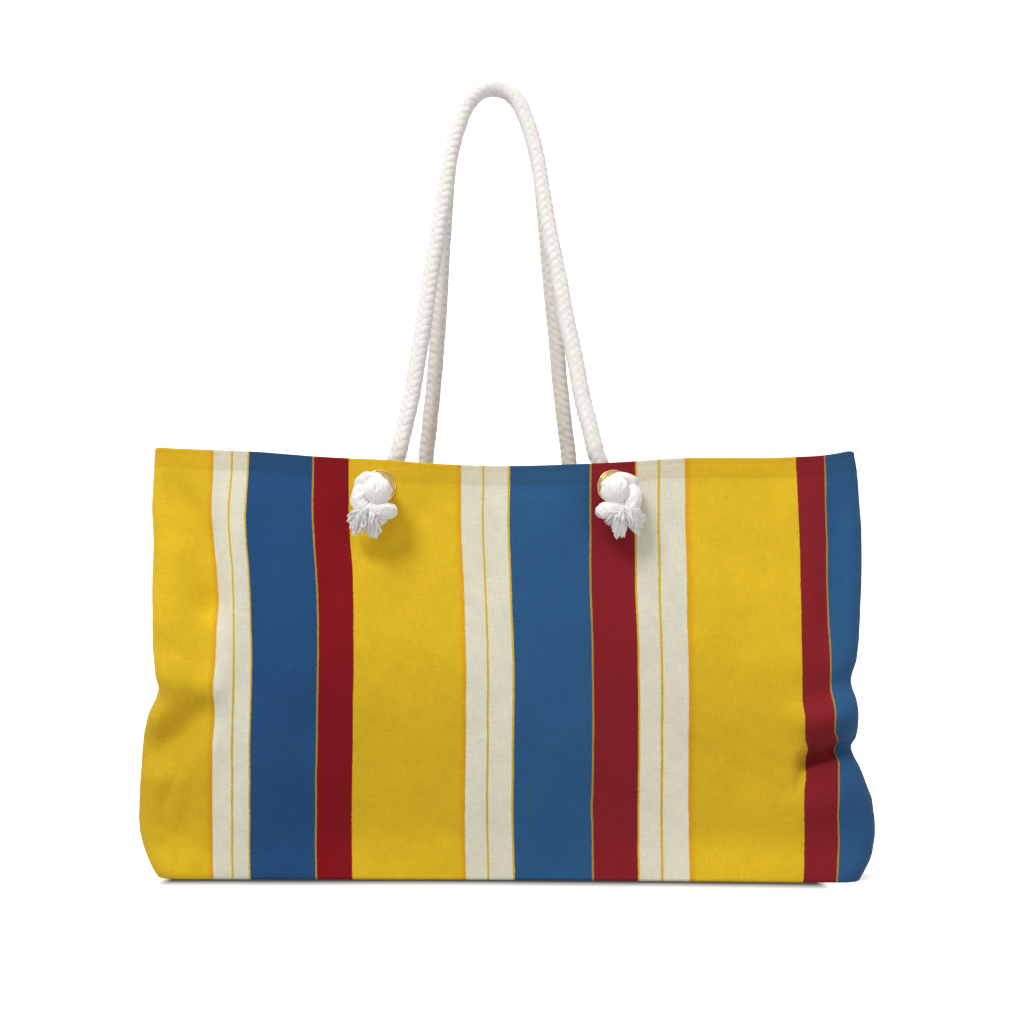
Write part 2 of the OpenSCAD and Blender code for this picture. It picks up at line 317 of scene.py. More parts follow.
area_light("key_light", (-2.6, -3.4, 4.7), (0, 0, 0.2), 2.2, 262)
area_light("fill_light", (2.4, -2.2, 1.2), (0, 0, 0.25), 1.8, 19.0)
area_light("top_light", (0.0, 0.2, 2.4), (0, 0, 0.0), 1.8, 25)
area_light("back_light", (0.8, 2.0, 1.4), (0, 0, 0.3), 1.6, 4)

# ---------------------------------------------------------------- the bag's shape, in millimetres

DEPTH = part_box("back_panel")[1][1] / MM
WELT_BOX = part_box("zip_welt")
ZIP_Z = (WELT_BOX[0][2] + WELT_BOX[1][2]) / 2 / MM
ZIP_L = (WELT_BOX[1][0] - WELT_BOX[0][0]) / MM - 14
ZIP_SLOT = (WELT_BOX[1][2] - WELT_BOX[0][2]) / MM - 12
GROMMET_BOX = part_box("front_right_grommet")
GROMMET_X = (GROMMET_BOX[0][0] + GROMMET_BOX[1][0]) / 2 / MM
GROMMET_Z = (GROMMET_BOX[0][2] + GROMMET_BOX[1][2]) / 2 / MM

# Half widths of the bag at heights, left and right of the grommets' middle
LEFT_EDGE = [
    (0, 266.8), (5, 270), (13, 273.8), (24, 278.4), (35, 281.6), (47, 282.7), (58, 281.9),
    (82, 280), (100, 278.7), (112, 277.7), (123, 275.2), (130, 272.8), (138, 269.1),
    (144, 267.3), (147, 266.6), (152, 266.3), (160, 267), (170, 269.5), (180, 271),
    (201, 270.8), (214, 271.4), (225, 271.8), (239, 272.3), (265, 272.2), (289, 273.2),
    (310, 272.6), (336, 270.8),
]
RIGHT_EDGE = [
    (0, 283.8), (3, 285.3), (6, 287.1), (14, 291.6), (20, 293.9), (33, 296.5), (46, 296.7),
    (62, 294), (78, 287.3), (94, 280.8), (100, 278.6), (102.5, 278.3), (105, 280.2),
    (108, 282.6), (113, 283.5), (118, 282), (129, 278.6), (135, 277.7), (143, 279.2),
    (151, 279.1), (154.5, 278.9), (159, 280), (169, 283.1), (185, 285.3), (207, 286.7),
    (230, 288.3), (253, 289), (275, 288.9), (289, 287.7), (313, 285.8), (336, 282.2),
]
# Half depth of the side walls, and radius of the corners between them and the faces
SIDE_DEPTH = [(0, 65.5), (4, 67), (12, 68), (60, 69), (150, 66), (250, 60), (336, 55)]
CORNER = [(0, 20), (50, 24), (90, 18), (170, 18), (250, 18), (336, 14)]
# How far the side walls fold in along their seams
SIDE_FOLD = [(0, 0), (50, 2), (120, 8), (200, 14), (336, 20)]
# Height of the rim across the front
RIM = [
    (-300, 337), (-270, 337), (-256, 335.2), (-227, 333), (-205, 331.8), (-180, 330),
    (-164, 328.3), (-139, 326),
    (-114, 324.4), (-90, 323.4), (-77, 322.6), (-60, 321), (-40, 319.7), (-4, 318.3), (21, 318.3),
    (46, 319.1), (83, 320.6), (107, 322), (120, 323.4), (144, 325), (206, 325.8), (230, 327),
    (250, 328.4), (264, 330.4), (280, 334), (310, 334),
]
# A height near the rim, to find each column's place along it
RIM_MIDDLE = 325.0
BOTTOM_R = 1.6
# How far either way the outlines and the rim are averaged
EDGE_REACH = 2.0
RIM_REACH = 9.0
SIDE_COLUMNS = 16
CORNER_COLUMNS = 10
FACE_COLUMNS = 180
WALL_ROWS = 104


def along(table, value):
    xs, ys = zip(*table)
    return np.interp(value, xs, ys)


def smooth_along(table, value, reach):
    """along(), averaged over reach either way so that the table's corners are rounded."""
    offsets = np.linspace(-reach, reach, 7)
    weights = 1 - np.abs(offsets) / (reach * 1.2)
    total = sum(w * along(table, value + o) for w, o in zip(weights, offsets))
    return total / weights.sum()


def ripples(seed, wavelength, size, count=11):
    """Smooth irregular field of two coordinates, about size high."""
    rng = np.random.default_rng(seed)
    angle = rng.uniform(0, math.tau, count)
    length = wavelength * rng.uniform(0.65, 1.6, count)
    phase = rng.uniform(0, math.tau, count)

    def field(a, b):
        total = 0
        for t, l, p in zip(angle, length, phase):
            total = total + np.sin(math.tau * (a * math.cos(t) + b * math.sin(t)) / l + p)
        return total * size * math.sqrt(2 / count)

    return field


def crease(a, b, points, width, height):
    """Rounded ridge (height above 0) or valley (below 0) along a line of points."""
    nearest = np.full(np.broadcast(a, b).shape, 1e9)
    for (a0, b0), (a1, b1) in zip(points[:-1], points[1:]):
        da, db = a1 - a0, b1 - b0
        t = np.clip(((a - a0) * da + (b - b0) * db) / (da * da + db * db), 0, 1)
        nearest = np.minimum(nearest, np.hypot(a - a0 - t * da, b - b0 - t * db))
    return height * np.exp(-((nearest / width) ** 2))


# How far the stripes lie to the right: heights, then one value for each place across. At the
# places in DRIFT_EXTRA the value is added to what the places beside them give
DRIFT_AT = (-222, -190, -112, 0, 73, 195, 235, 258)
DRIFT_EXTRA = (-112, 73)
# It fades to nothing on the sides, and is averaged over these offsets in height
DRIFT_END, DRIFT_FADE = 330, 50
DRIFT_REACH = (-6, -2, 2, 6)
STRIPE_DRIFT = [
    (0, 0.8, 1.5, -0.4, 1.4, -0.5, 0.6, -2.6, 0),
    (14, 0.6, 1.4, -0.3, 1, -0.6, 0.6, -1.6, 0.8),
    (25, 0.4, 1.3, -0.2, 0.6, -0.5, 0.4, -0.8, 2),
    (40, 0.4, 1.4, 0.1, 0.3, 0, 0.2, -0.6, 2.2),
    (53, 0.4, 1.5, 0.1, 0.2, -0.4, 0.2, -1.8, 1),
    (70, 0.5, 1.7, 0.1, 0.3, 0, 0.4, -0.4, 1.9),
    (82, 0.6, 1.9, 0.1, 0.5, -0.3, 0.8, 4.6, 3.6),
    (90, 0.7, 2, 0.1, 0.7, -0.5, 1.2, 7.6, 6.4),
    (97, 0.7, 2.1, 0.1, 0.8, -0.6, 1.4, 6.1, 10),
    (104, 0.8, 2.2, 0.1, 0.9, -0.7, 1.5, 1.4, 8.2),
    (114, 0.8, 2.3, 0.1, 1, -0.7, 1.6, 0.4, -1.7),
    (128, 1, 2.4, 0.2, 1, -0.5, 1.6, -0.4, -0.4),
    (146, 1.9, 2.6, 0.3, 1, -0.2, 1.2, 0.2, -0.2),
    (175, 2.7, 3, 0.6, 0.8, -0.1, 0.6, -0.4, -1),
    (215, 2.9, 2.4, 1.1, -0.8, -0.4, 0.2, -0.8, -1.2),
    (240, 2, 0.8, 1.7, -1.8, 0.1, -0.4, -1, -1.3),
    (258, -0.4, -1.2, 1.9, -2.6, 0.6, -1, -1.2, -1.2),
    (280, -2, -2.4, 1.3, -3, 1.3, -1.8, -1.5, -1.5),
    (332, -0.6, -0.6, -0.3, -2.8, 2, -2.2, -2.4, -2.4),
]


def stripe_drift(across, up):
    heights, *offsets = (np.array(v, float) for v in zip(*STRIPE_DRIFT))
    total = 0
    for place_at, values in zip(DRIFT_AT, offsets):
        here = sum(np.interp(up + o, heights, values) for o in DRIFT_REACH) / len(DRIFT_REACH)
        places = [p for p in DRIFT_AT if p == place_at or p not in DRIFT_EXTRA]
        share = [float(p == place_at) for p in places]
        total = total + here * np.interp(across, places, share)
    return total * np.clip((DRIFT_END - np.abs(across)) / DRIFT_FADE, 0, 1)


# Folds in the front: points (across, up), width, height
FRONT_FOLDS = [
    ([(-262, 322), (-246, 296), (-228, 262), (-222, 215)], 14, -6.0),
    ([(-222, 215), (-226, 180), (-232, 158)], 13, -3.0),
    ([(-252, 250), (-256, 200)], 14, 2.6),
    ([(-205, 300), (-198, 230), (-200, 170)], 16, 2.2),
    ([(-280, 148), (-267, 140)], 9, -4.0),
    ([(-276, 100), (-256, 104), (-240, 116), (-230, 126)], 16, -8.0),
    ([(-260, 158), (-240, 153), (-220, 148)], 14, 4.0),
    ([(-268, 84), (-240, 78)], 16, 3.0),
    ([(-245, 86), (-258, 54), (-256, 28)], 3.5, -1.3),
    ([(-269, 84), (-265, 54), (-262, 42)], 3.5, -1.0),
    ([(-233, 84), (-242, 36)], 5, -0.8),
    ([(-190, 160), (-150, 120)], 22, -1.8),
    ([(-165, 300), (-158, 210), (-166, 90)], 26, 1.4),
    ([(288, 153), (262, 148), (240, 136)], 10, -3.6),
    ([(288, 103), (268, 98), (250, 92), (242, 89)], 9.5, -10),
    ([(258, 98), (246, 92)], 7, -3.2),
    ([(242, 95), (237, 84), (232, 73)], 4.5, -3.0),
    ([(284, 133), (258, 131), (238, 127)], 14, 7.2),
    ([(262, 120), (246, 117)], 9, 3.0),
    ([(262, 66), (240, 56)], 15, 3.4),
    ([(276, 300), (262, 260), (258, 200)], 14, -2.8),
    ([(236, 300), (240, 230), (236, 170)], 17, 1.6),
    ([(196, 240), (188, 160), (196, 80)], 30, -1.2),
    ([(-60, 300), (-52, 200), (-66, 90)], 34, -1.2),
    ([(34, 290), (30, 180), (42, 60)], 30, 1.1),
    ([(-90, 286), (-94, 250)], 12, -1.2),
    ([(90, 286), (95, 250)], 12, -1.2),
]
BACK_FOLDS = [
    ([(258, 322), (240, 290), (226, 240), (224, 190)], 16, -4.6),
    ([(280, 152), (250, 142), (214, 120)], 12, -5.2),
    ([(286, 100), (258, 92), (228, 84)], 11, -4.6),
    ([(262, 70), (236, 54)], 18, 2.6),
    ([(-276, 147), (-248, 140), (-216, 124)], 12, -5.2),
    ([(-262, 300), (-250, 250), (-240, 190)], 15, -3.6),
    ([(-268, 112), (-236, 100)], 17, 3.0),
    ([(-120, 280), (-110, 180), (-124, 90)], 34, -1.6),
    ([(30, 290), (22, 180), (36, 70)], 32, 1.4),
    ([(150, 270), (156, 180), (146, 80)], 32, -1.3),
    ([(-90, 286), (-94, 250)], 12, -1.2),
    ([(90, 286), (95, 250)], 12, -1.2),
]
FOLD_SHARE = 1.35
broad = {FRONT: ripples(11, 170, 1.0), BACK: ripples(12, 170, 1.2)}
middling = {FRONT: ripples(21, 62, 0.42), BACK: ripples(22, 62, 0.45)}
fine = {FRONT: ripples(31, 24, 0.13), BACK: ripples(32, 24, 0.13)}


# The faces bulge a little in the middle
BELLY = 2.0
BELLY_HEIGHT, BELLY_HALF = 320, 300
# The cloth lies flat up from the base, and is held under the hem
FOOT_FLAT, FOOT_FADE = 2, 22
HEM_FLAT, HEM_FADE, HEM_HOLD = 292, 26, 0.75
# The cloth lies flat round a grommet, out to a radius and fading beyond it
FLAT_R = 15
FLAT_FADE = 22


def off_grommets(x, z):
    """0 round the grommets and 1 away from them."""
    share = 1
    for gx in (-GROMMET_X, GROMMET_X):
        share = share * np.clip((np.hypot(x - gx, z - GROMMET_Z) - FLAT_R) / FLAT_FADE, 0, 1)
    return share


def relief(side, across, up):
    """How far the canvas stands out from the plain shape."""
    folds = FRONT_FOLDS if side == FRONT else BACK_FOLDS
    out = broad[side](across, up) + middling[side](across, up) + fine[side](across, up)
    for points, width, height in folds:
        out = out + FOLD_SHARE * crease(across, up, points, width, height)
    belly = np.sin(np.clip(up / BELLY_HEIGHT, 0, 1) * math.pi)
    out = out + BELLY * belly * np.cos(np.clip(across / BELLY_HALF, -1, 1) * 1.5)
    out = out * np.clip((up - FOOT_FLAT) / FOOT_FADE, 0, 1)
    out = out * (1 - HEM_HOLD * np.clip((up - HEM_FLAT) / HEM_FADE, 0, 1))
    return out * off_grommets(across, up) * (1 - zip_hold(side, across, up))


# How far beyond the zip's ends and its middle the back is flat, and how far it fades
ZIP_BESIDE, ZIP_BESIDE_FADE = 12, 40
ZIP_ABOVE, ZIP_ABOVE_FADE = 18, 26


def zip_hold(side, across, up):
    """1 where the zip keeps the back flat, fading to 0 round it."""
    if side == FRONT:
        return 0 * across
    beside = np.clip((np.abs(across) - ZIP_L / 2 - ZIP_BESIDE) / ZIP_BESIDE_FADE, 0, 1)
    above = np.clip((np.abs(up - ZIP_Z) - ZIP_ABOVE) / ZIP_ABOVE_FADE, 0, 1)
    hold = np.clip(1 - np.hypot(beside, above), 0, 1)
    return hold**2 * (3 - 2 * hold)


side_ripple = ripples(51, 70, 0.9)


def straight_share(y, straight):
    """0 where the side wall meets its corner and 1 at the side seam."""
    return 1 - np.clip(y / np.maximum(straight, 1), 0, 1) ** 2


def columns():
    """Segment number and place along it, 0 to 1, of each column of the half shell."""
    counts = (SIDE_COLUMNS, CORNER_COLUMNS, FACE_COLUMNS, CORNER_COLUMNS, SIDE_COLUMNS)
    segment = np.concatenate([np.repeat(np.arange(5.0), counts), [4.0]])
    return segment, np.concatenate([np.arange(count) / count for count in counts] + [[1.0]])


def edges(z):
    """Half widths of the bag to the left and to the right at heights."""
    return [smooth_along(table, z, EDGE_REACH) for table in (LEFT_EDGE, RIGHT_EDGE)]


def shell(side, segment, t, z, inset=0.0, rise=0.0, relief_share=1.0):
    """Points of half the shell, its stripe coordinate and its outward normal.

    segment runs 0 side, 1 corner, 2 face, 3 corner, 4 side from -X to +X. inset moves the
    points in along the normal, and rise moves them up.
    """
    segment, t, z = np.broadcast_arrays(segment, t, np.asarray(z, float))
    left, right = edges(z)
    side_d = along(SIDE_DEPTH, z) * DEPTH / 70
    corner = along(CORNER, z)
    fold = along(SIDE_FOLD, z)
    low = np.clip(1 - z / BOTTOM_R, 0, 1)
    face_d = DEPTH - BOTTOM_R * (1 - np.sqrt(np.clip(1 - low**2, 0, 1)))
    bulge = face_d - side_d
    straight = side_d - corner
    toe_share = np.clip(1 - z / TOE_TOP, 0, 1) ** TOE_POWER if side == FRONT else 0

    x, y, across, nx, ny = (np.zeros_like(z) for _ in range(5))
    for number, edge, sign in ((0, left, -1), (4, right, 1)):
        on = segment == number
        u = t if number == 4 else 1 - t
        depth = straight * (1 - u)
        tuck = fold * np.cos(math.pi / 2 * np.clip(depth / straight, 0, 1)) ** 2
        x = np.where(on, sign * (edge - tuck), x)
        y = np.where(on, depth, y)
        reach = edge - corner + corner * math.pi / 2 + (straight - depth)
        across = np.where(on, sign * reach, across)
        nx = np.where(on, sign, nx)
    for number, edge, sign in ((1, left, -1), (3, right, 1)):
        on = segment == number
        angle = (t if number == 1 else 1 - t) * math.pi / 2
        cos, sin = np.cos(angle), np.sin(angle)
        x = np.where(on, sign * (edge - corner + corner * cos), x)
        y = np.where(on, straight + corner * sin, y)
        across = np.where(on, sign * (edge - corner + corner * (math.pi / 2 - angle)), across)
        nx = np.where(on, sign * cos, nx)
        ny = np.where(on, sin, ny)
    y = np.where(segment == 3, y + TOE * toe_share * TOE_AT_CORNER * np.clip(ny, 0, 1), y)
    on = segment == 2
    face_x = -(left - corner) + t * (left + right - 2 * corner)
    share = np.where(face_x < 0, face_x / (left - corner), face_x / (right - corner))
    x = np.where(on, face_x, x)
    toe = TOE * toe_share * np.clip((face_x - TOE_START) / TOE_RUN, 0, 1) ** TOE_POWER
    y = np.where(on, side_d + bulge * (1 - np.abs(share) ** 3) + toe, y)
    across = np.where(on, face_x, across)
    ny = np.where(on, 1.0, ny)

    # Folds push the face in and out, and leave the outline seen from the front alone
    out = relief(side, across, z) * relief_share * ny
    out = out + np.where(np.abs(nx) == 1, side_ripple(y * side, z) * straight_share(y, straight), 0)
    # The cloth round each grommet lies flat against its flange
    y = y + np.where(on, 1 - off_grommets(x, z), 0) * (DEPTH - y)
    y = y + np.where(on, zip_hold(side, across, z), 0) * (DEPTH - y)
    push = out - inset
    x = x + nx * push
    y = y + ny * push
    points = np.stack([x, side * y, z + rise], axis=-1)
    normal = np.stack([nx, side * ny, np.zeros_like(nx)], axis=-1)
    return points, across, normal


# The back's rim is mostly the front's mirrored, and becomes the front's at the side seams
MIRROR_SHARE = 0.65
MIRROR_LIMITS = -268, 280
SEAM_FADE = 60


def rim_height(side, segment, t):
    """Height of the rim for each column. It is the same at the side seams, front and back."""
    points = shell(side, segment, t, np.full(len(t), RIM_MIDDLE), relief_share=0)[0]
    x = points[:, 0]
    front = smooth_along(RIM, x, RIM_REACH)
    if side == FRONT:
        return front
    mirrored = smooth_along(RIM, np.clip(-x, *MIRROR_LIMITS), RIM_REACH)
    back = front * (1 - MIRROR_SHARE) + MIRROR_SHARE * mirrored
    seam = np.clip(np.abs(points[:, 1]) / SEAM_FADE, 0, 1)
    return seam * back + (1 - seam) * front


CANVAS_T = 1.0
HEM_GAP = 0.25
FOLD_R = CANVAS_T + HEM_GAP / 2
HEM_BAND = 15.6
HEM_DROP = 16.0
# How far the seam allowance raises the canvas over it, and the stitches' line from the rim
HEM_RISE = 0.35
STITCH_DROP = 4.6
FOOT_STEPS = (0, 1.2, 2.6, 4.4, 6.6, 9.2, 12.4)
TOP_STEPS = (
    -22, -19, -17, -16, -15.2, -14.2, -12.6, -10.6, -8.6, -6.8, -5.4, -4.4, -3.4, -2.4, -1.2, 0
)
# Values of rim_drop on the base and on the fold, where there is no wall
BASE_DROP = 330.0
FOLD_DROP = -1.0


def wall_rows(rim, foot):
    """Heights of the wall's rows, column by column, finer near the foot and in the hem."""
    low = foot + np.array(FOOT_STEPS)[:, None] + 0 * rim[None, :]
    high = rim[None, :] + np.array(TOP_STEPS)[:, None]
    share = np.linspace(0, 1, WALL_ROWS)[1:-1, None]
    return np.concatenate([low, low[-1:] * (1 - share) + high[:1] * share, high])


def base_rows(foot, height):
    """Rows from the seam under the bag's middle out to the foot of the wall."""
    seam_x = foot[0, 0] + (foot[-1, 0] - foot[0, 0]) * np.linspace(0, 1, len(foot))
    rows = []
    for share in np.linspace(1, 0, 15)[:-1]:
        row = foot.copy()
        row[:, 0] = foot[:, 0] * (1 - share) + seam_x * share
        row[:, 1] = foot[:, 1] * (1 - share)
        row[:, 2] = height(row, share)
        rows.append(row)
    return np.array(rows)


def fold_rows(top, normal, angles):
    """Rows turned over the rim, at angles from the wall's top."""
    rows = [top - normal * FOLD_R * (1 - math.cos(angle)) for angle in angles]
    for row, angle in zip(rows, angles):
        row[:, 2] = top[:, 2] + FOLD_R * math.sin(angle)
    return rows


def cloth_object(name, side, grid, keep, material, thickness, across, up, drop=None):
    """A cloth's mesh without the points cut out of it, and with its thickness."""
    faces = grid_faces(*grid.shape[:2], flip=side == BACK)
    attributes = {"cloth_x": across * MM, "cloth_y": up * MM}
    if drop is not None:
        attributes["rim_drop"] = (drop + FOLD_R) * MM
    obj = mesh_object(name, grid, faces[keep[faces].all(axis=1)], material, attributes)
    return thicken(obj, thickness)


def canvas_panel(side, name):
    """Outer canvas of one half: base seam, wall and the fold over the rim."""
    segment, t = columns()
    rim = rim_height(side, segment, t) - FOLD_R
    z = wall_rows(rim, 0.0)
    drop = rim[None, :] - z
    # The seam allowance shows through as a slightly raised band, with a dip along the stitches
    band = HEM_RISE / (1 + np.exp((drop - HEM_BAND + 0.4) / 0.7))
    band = band - 0.22 * np.exp(-((drop + FOLD_R - STITCH_DROP) ** 2))
    points, across, normal = shell(side, segment[None], t[None], z, inset=-band)
    base = base_rows(points[0], lambda row, share: 0)
    fold = fold_rows(points[-1], normal[-1], np.linspace(0, math.pi / 2, 5)[1:])
    grid = np.concatenate([base, points, np.array(fold)])
    across = np.concatenate([base[:, :, 0], across, np.repeat(across[-1:], 4, axis=0)])
    drop = np.concatenate([
        np.full((len(base), len(t)), BASE_DROP), drop, np.full((4, len(t)), FOLD_DROP)
    ])
    up = np.concatenate([np.abs(base[:, :, 1]) - DEPTH, z, z[-1:] + np.arange(1, 5)[:, None]])
    keep, grid = grommet_holes(grid, side)
    across = -side * across - stripe_drift(-side * across, up)
    return cloth_object(name, side, grid, keep, canvas, CANVAS_T, across, up, drop)


def grommet_holes(grid, side, hole_r=8.0, edge_r=10.0):
    """Marks the points to keep and draws the rest of the cloth back to a circle under each flange."""
    flat = grid.reshape(-1, 3).copy()
    keep = np.ones(len(flat), bool)
    for gx in (-GROMMET_X, GROMMET_X):
        away = np.hypot(flat[:, 0] - gx, flat[:, 2] - GROMMET_Z)
        away = np.where(np.abs(flat[:, 1]) > DEPTH / 2, away, 1e9)
        away = np.where(flat[:, 2] > GROMMET_Z - 40, away, 1e9)
        keep &= away > hole_r
        near = keep & (away < edge_r)
        push = edge_r / np.maximum(away, 1e-6)
        flat[near, 0] = gx + (flat[near, 0] - gx) * push[near]
        flat[near, 2] = GROMMET_Z + (flat[near, 2] - GROMMET_Z) * push[near]
    return keep, flat.reshape(grid.shape)


def hem(side, name):
    """The turned-in allowance, from the top of the fold down inside."""
    segment, t = columns()
    rim = rim_height(side, segment, t) - FOLD_R
    top, across, normal = shell(side, segment, t, rim, inset=-HEM_RISE)
    rows = fold_rows(top, normal, np.linspace(math.pi / 2, math.pi, 5))
    drops = [FOLD_DROP] * len(rows)
    for drop in (2, 5, 9, 13, HEM_DROP):
        rows.append(shell(side, segment, t, rim - drop, inset=2 * FOLD_R - HEM_RISE)[0])
        drops.append(drop)
    keep, grid = grommet_holes(np.array(rows), side)
    up = grid[:, :, 2]
    across = np.repeat(across[None], len(rows), 0) * -side
    across = across - stripe_drift(across, up)
    drops = np.repeat(np.array(drops, float)[:, None], len(t), 1)
    return cloth_object(name, side, grid, keep, canvas, CANVAS_T, across, up, drops)


LINING_T = 0.4
LINING_IN = 2 * FOLD_R + 0.05
LINING_TOP = 3.2
# How loose the lining hangs, and how far down from the rim it is tight
LOOSE, LOOSE_LEAST = 0.9, 0.15
TIGHT_DROP, TIGHT_FADE = 20, 40
FLOOR_Z = 4.4


def lining_inset(side, across, z, rim):
    """Depth of the lining behind the canvas face: tight at the rim and grommets, loose below."""
    loose = LOOSE + np.abs(ripples(41 + side, 80, LOOSE)(across, z))
    loose = np.maximum(loose + ripples(43 + side, 26, 0.25)(across, z), LOOSE_LEAST)
    tight = np.clip((rim - z - TIGHT_DROP) / TIGHT_FADE, 0, 1)
    loose = loose * tight * off_grommets(across, z)
    return LINING_IN + loose * (1 - zip_hold(side, across, z))


def lining_panel(side, name):
    segment, t = columns()
    rim = rim_height(side, segment, t)
    z = wall_rows(rim - LINING_TOP, FLOOR_Z)
    across = shell(side, segment[None], t[None], z, relief_share=0)[1]
    inset = lining_inset(side, across, z, rim[None])
    points, across, _ = shell(side, segment[None], t[None], z, inset=inset)
    ridge = ripples(47, 70, 0.25)

    def floor_height(row, share):
        return FLOOR_Z + np.abs(ridge(row[:, 0], row[:, 1])) * min(1, 4 * share)

    base = base_rows(points[0], floor_height)
    keep, grid = grommet_holes(np.concatenate([base, points]), side)
    if side == BACK:
        x, y, height = grid.reshape(-1, 3).T
        slot = (np.abs(x) < ZIP_L / 2) & (np.abs(height - ZIP_Z) < ZIP_SLOT / 2)
        keep &= ~(slot & (y > DEPTH / 2))
    across = np.concatenate([base[:, :, 0], across])
    up = np.concatenate([np.abs(base[:, :, 1]) - DEPTH, z])
    return cloth_object(name, side, grid, keep, lining_cloth, LINING_T, across, up)


# ---------------------------------------------------------------- materials


def weave_bump(g, warp, weft, pitch, strength, distance, extra):
    """Plain weave: two sets of threads at right angles, each over and under the other."""
    a = g.times(warp, math.pi / pitch)
    b = g.times(weft, math.pi / pitch)
    wave_a = g.maths("ABSOLUTE", g.maths("SINE", a))
    wave_b = g.maths("ABSOLUTE", g.maths("SINE", b))
    check = g.times(g.maths("COSINE", a), g.maths("COSINE", b))
    pick = g.maths("GREATER_THAN", check, 0.0)
    weave = g.plus(g.times(pick, wave_a), g.times(g.minus(1.0, pick), wave_b))
    return g.bump(strength, distance, g.plus(weave, extra))


YELLOW = srgb(224, 184, 32)
ORANGE = srgb(222, 160, 16)
WHITE = srgb(222, 218, 197)
BLUE = srgb(41, 87, 131)
DEEP_BLUE = srgb(32, 76, 122)
RED = srgb(136, 26, 36)
DEEP_RED = srgb(133, 8, 22)
THREAD_YELLOW = srgb(214, 178, 40)
THREAD_DARK = srgb(176, 140, 40)
HEM_TINT = (0.90, 0.86, 0.80, 1)
SLUB = srgb(120, 96, 40)

# Where each colour starts, in millimetres from the middle of the panel, and how softly
FIRST_COLOUR = YELLOW
STRIPES = [
    (-378, 0.5, RED), (-348, 0.4, THREAD_DARK), (-346.6, 0.4, BLUE),
    (-330, 0.4, THREAD_DARK), (-328.6, 0.4, RED), (-305, 0.5, YELLOW),
    (-222, 4.0, ORANGE), (-219, 0.6, WHITE), (-205.1, 0.5, THREAD_YELLOW), (-203.5, 0.5, WHITE),
    (-192.0, 0.5, THREAD_YELLOW), (-190.7, 0.4, DEEP_BLUE), (-140.4, 0.4, THREAD_DARK),
    (-139.1, 0.4, DEEP_RED), (-112.0, 0.5, YELLOW), (-27.5, 5.0, ORANGE), (-24.6, 0.6, WHITE),
    (-8.4, 0.5, THREAD_YELLOW), (-6.8, 0.5, WHITE), (11.2, 0.5, THREAD_YELLOW),
    (12.8, 0.4, BLUE), (72.6, 0.4, THREAD_DARK), (74.0, 0.4, RED), (107.8, 0.4, THREAD_YELLOW),
    (109.3, 0.5, WHITE), (125.3, 0.5, THREAD_YELLOW), (127.2, 0.5, WHITE), (146.6, 0.7, ORANGE),
    (150.1, 5.0, YELLOW), (235.0, 0.5, RED), (257.6, 0.4, THREAD_DARK), (258.8, 0.4, BLUE),
    (316, 0.4, THREAD_YELLOW), (317.4, 0.4, WHITE), (352, 0.5, YELLOW),
]


def stripe_colour(g, across):
    """Colour of the woven stripes for a distance across the panel, in metres."""
    colour = FIRST_COLOUR
    for start, soft, following in STRIPES:
        gain = 1 / (soft * MM)
        past = g.scaled(across, gain, 0.5 - start * MM * gain, clamp=True)
        colour = g.mix(past, colour, following)
    return colour


def canvas_material():
    mat, g, shader = principled("striped_canvas")
    across, up, drop = (g.attribute(name) for name in ("cloth_x", "cloth_y", "rim_drop"))
    flat = g.add("CombineXYZ", {0: across, 1: up})

    # Edges wander as on hand-woven stripes
    wander = g.times(g.minus(g.noise(flat, 14.0), 0.5), 0.0022)
    jitter = g.times(g.minus(g.noise(flat, 420.0, 1.0), 0.5), 0.0009)
    colour = stripe_colour(g, g.plus(across, g.plus(wander, jitter)))

    # Threads: fine lines both ways, broken up by noise
    warp, weft = (
        g.noise(g.add("VectorMath", {0: flat, 1: stretch}, operation="MULTIPLY"), 1.0)
        for stretch in ((1600.0, 90.0, 1.0), (110.0, 1500.0, 1.0))
    )
    threads = g.plus(warp, weft)
    blotch = g.noise(flat, 60.0, 6.0)
    tone = g.times(g.scaled(threads, 0.34, 0.66), g.scaled(blotch, 0.16, 0.92))
    tone = g.times(tone, g.scaled(g.noise(flat, 9.0, 3.0), 0.16, 0.92))
    colour = g.toned(colour, tone)

    # Doubled cloth of the hem is a little darker and greyer
    colour = g.mix(g.ramp(drop, 0.0150, 0.0160, 1.0, 0.0), colour, HEM_TINT, "MULTIPLY")

    # Painted shade: a band low on the walls is deeper in tone, the dyed stripes more than the white
    blue_part = g.add("SeparateColor", {0: colour}, 2)
    dyed = g.scaled(blue_part, -2.0, 1.0, clamp=True)
    band_foot = g.ramp(up, 0.010, 0.050, interpolation_type="SMOOTHSTEP")
    band_head = g.ramp(up, 0.215, 0.095, interpolation_type="SMOOTHSTEP")
    painted_band_shade = g.times(g.times(band_foot, band_head), g.scaled(dyed, 0.13, 0.07))
    colour = g.toned(colour, g.minus(1.03, painted_band_shade))

    # A few darker slubs
    specks = g.add("TexVoronoi", {"Vector": flat, "Scale": 19.0, "Randomness": 1.0}, "Distance")
    colour = g.mix(g.ramp(specks, 0.008, 0.02, 0.3, 0.0), colour, SLUB)

    g.feed(shader, {
        "Base Color": colour,
        "Normal": weave_bump(g, across, up, 0.00085, 0.5, 0.00022, g.times(threads, 0.9)),
        "Roughness": g.scaled(blotch, 0.18, 0.72),
        "Specular IOR Level": 0.16,
        "Sheen Weight": 0.03,
        "Sheen Roughness": 0.5,
    })
    return mat


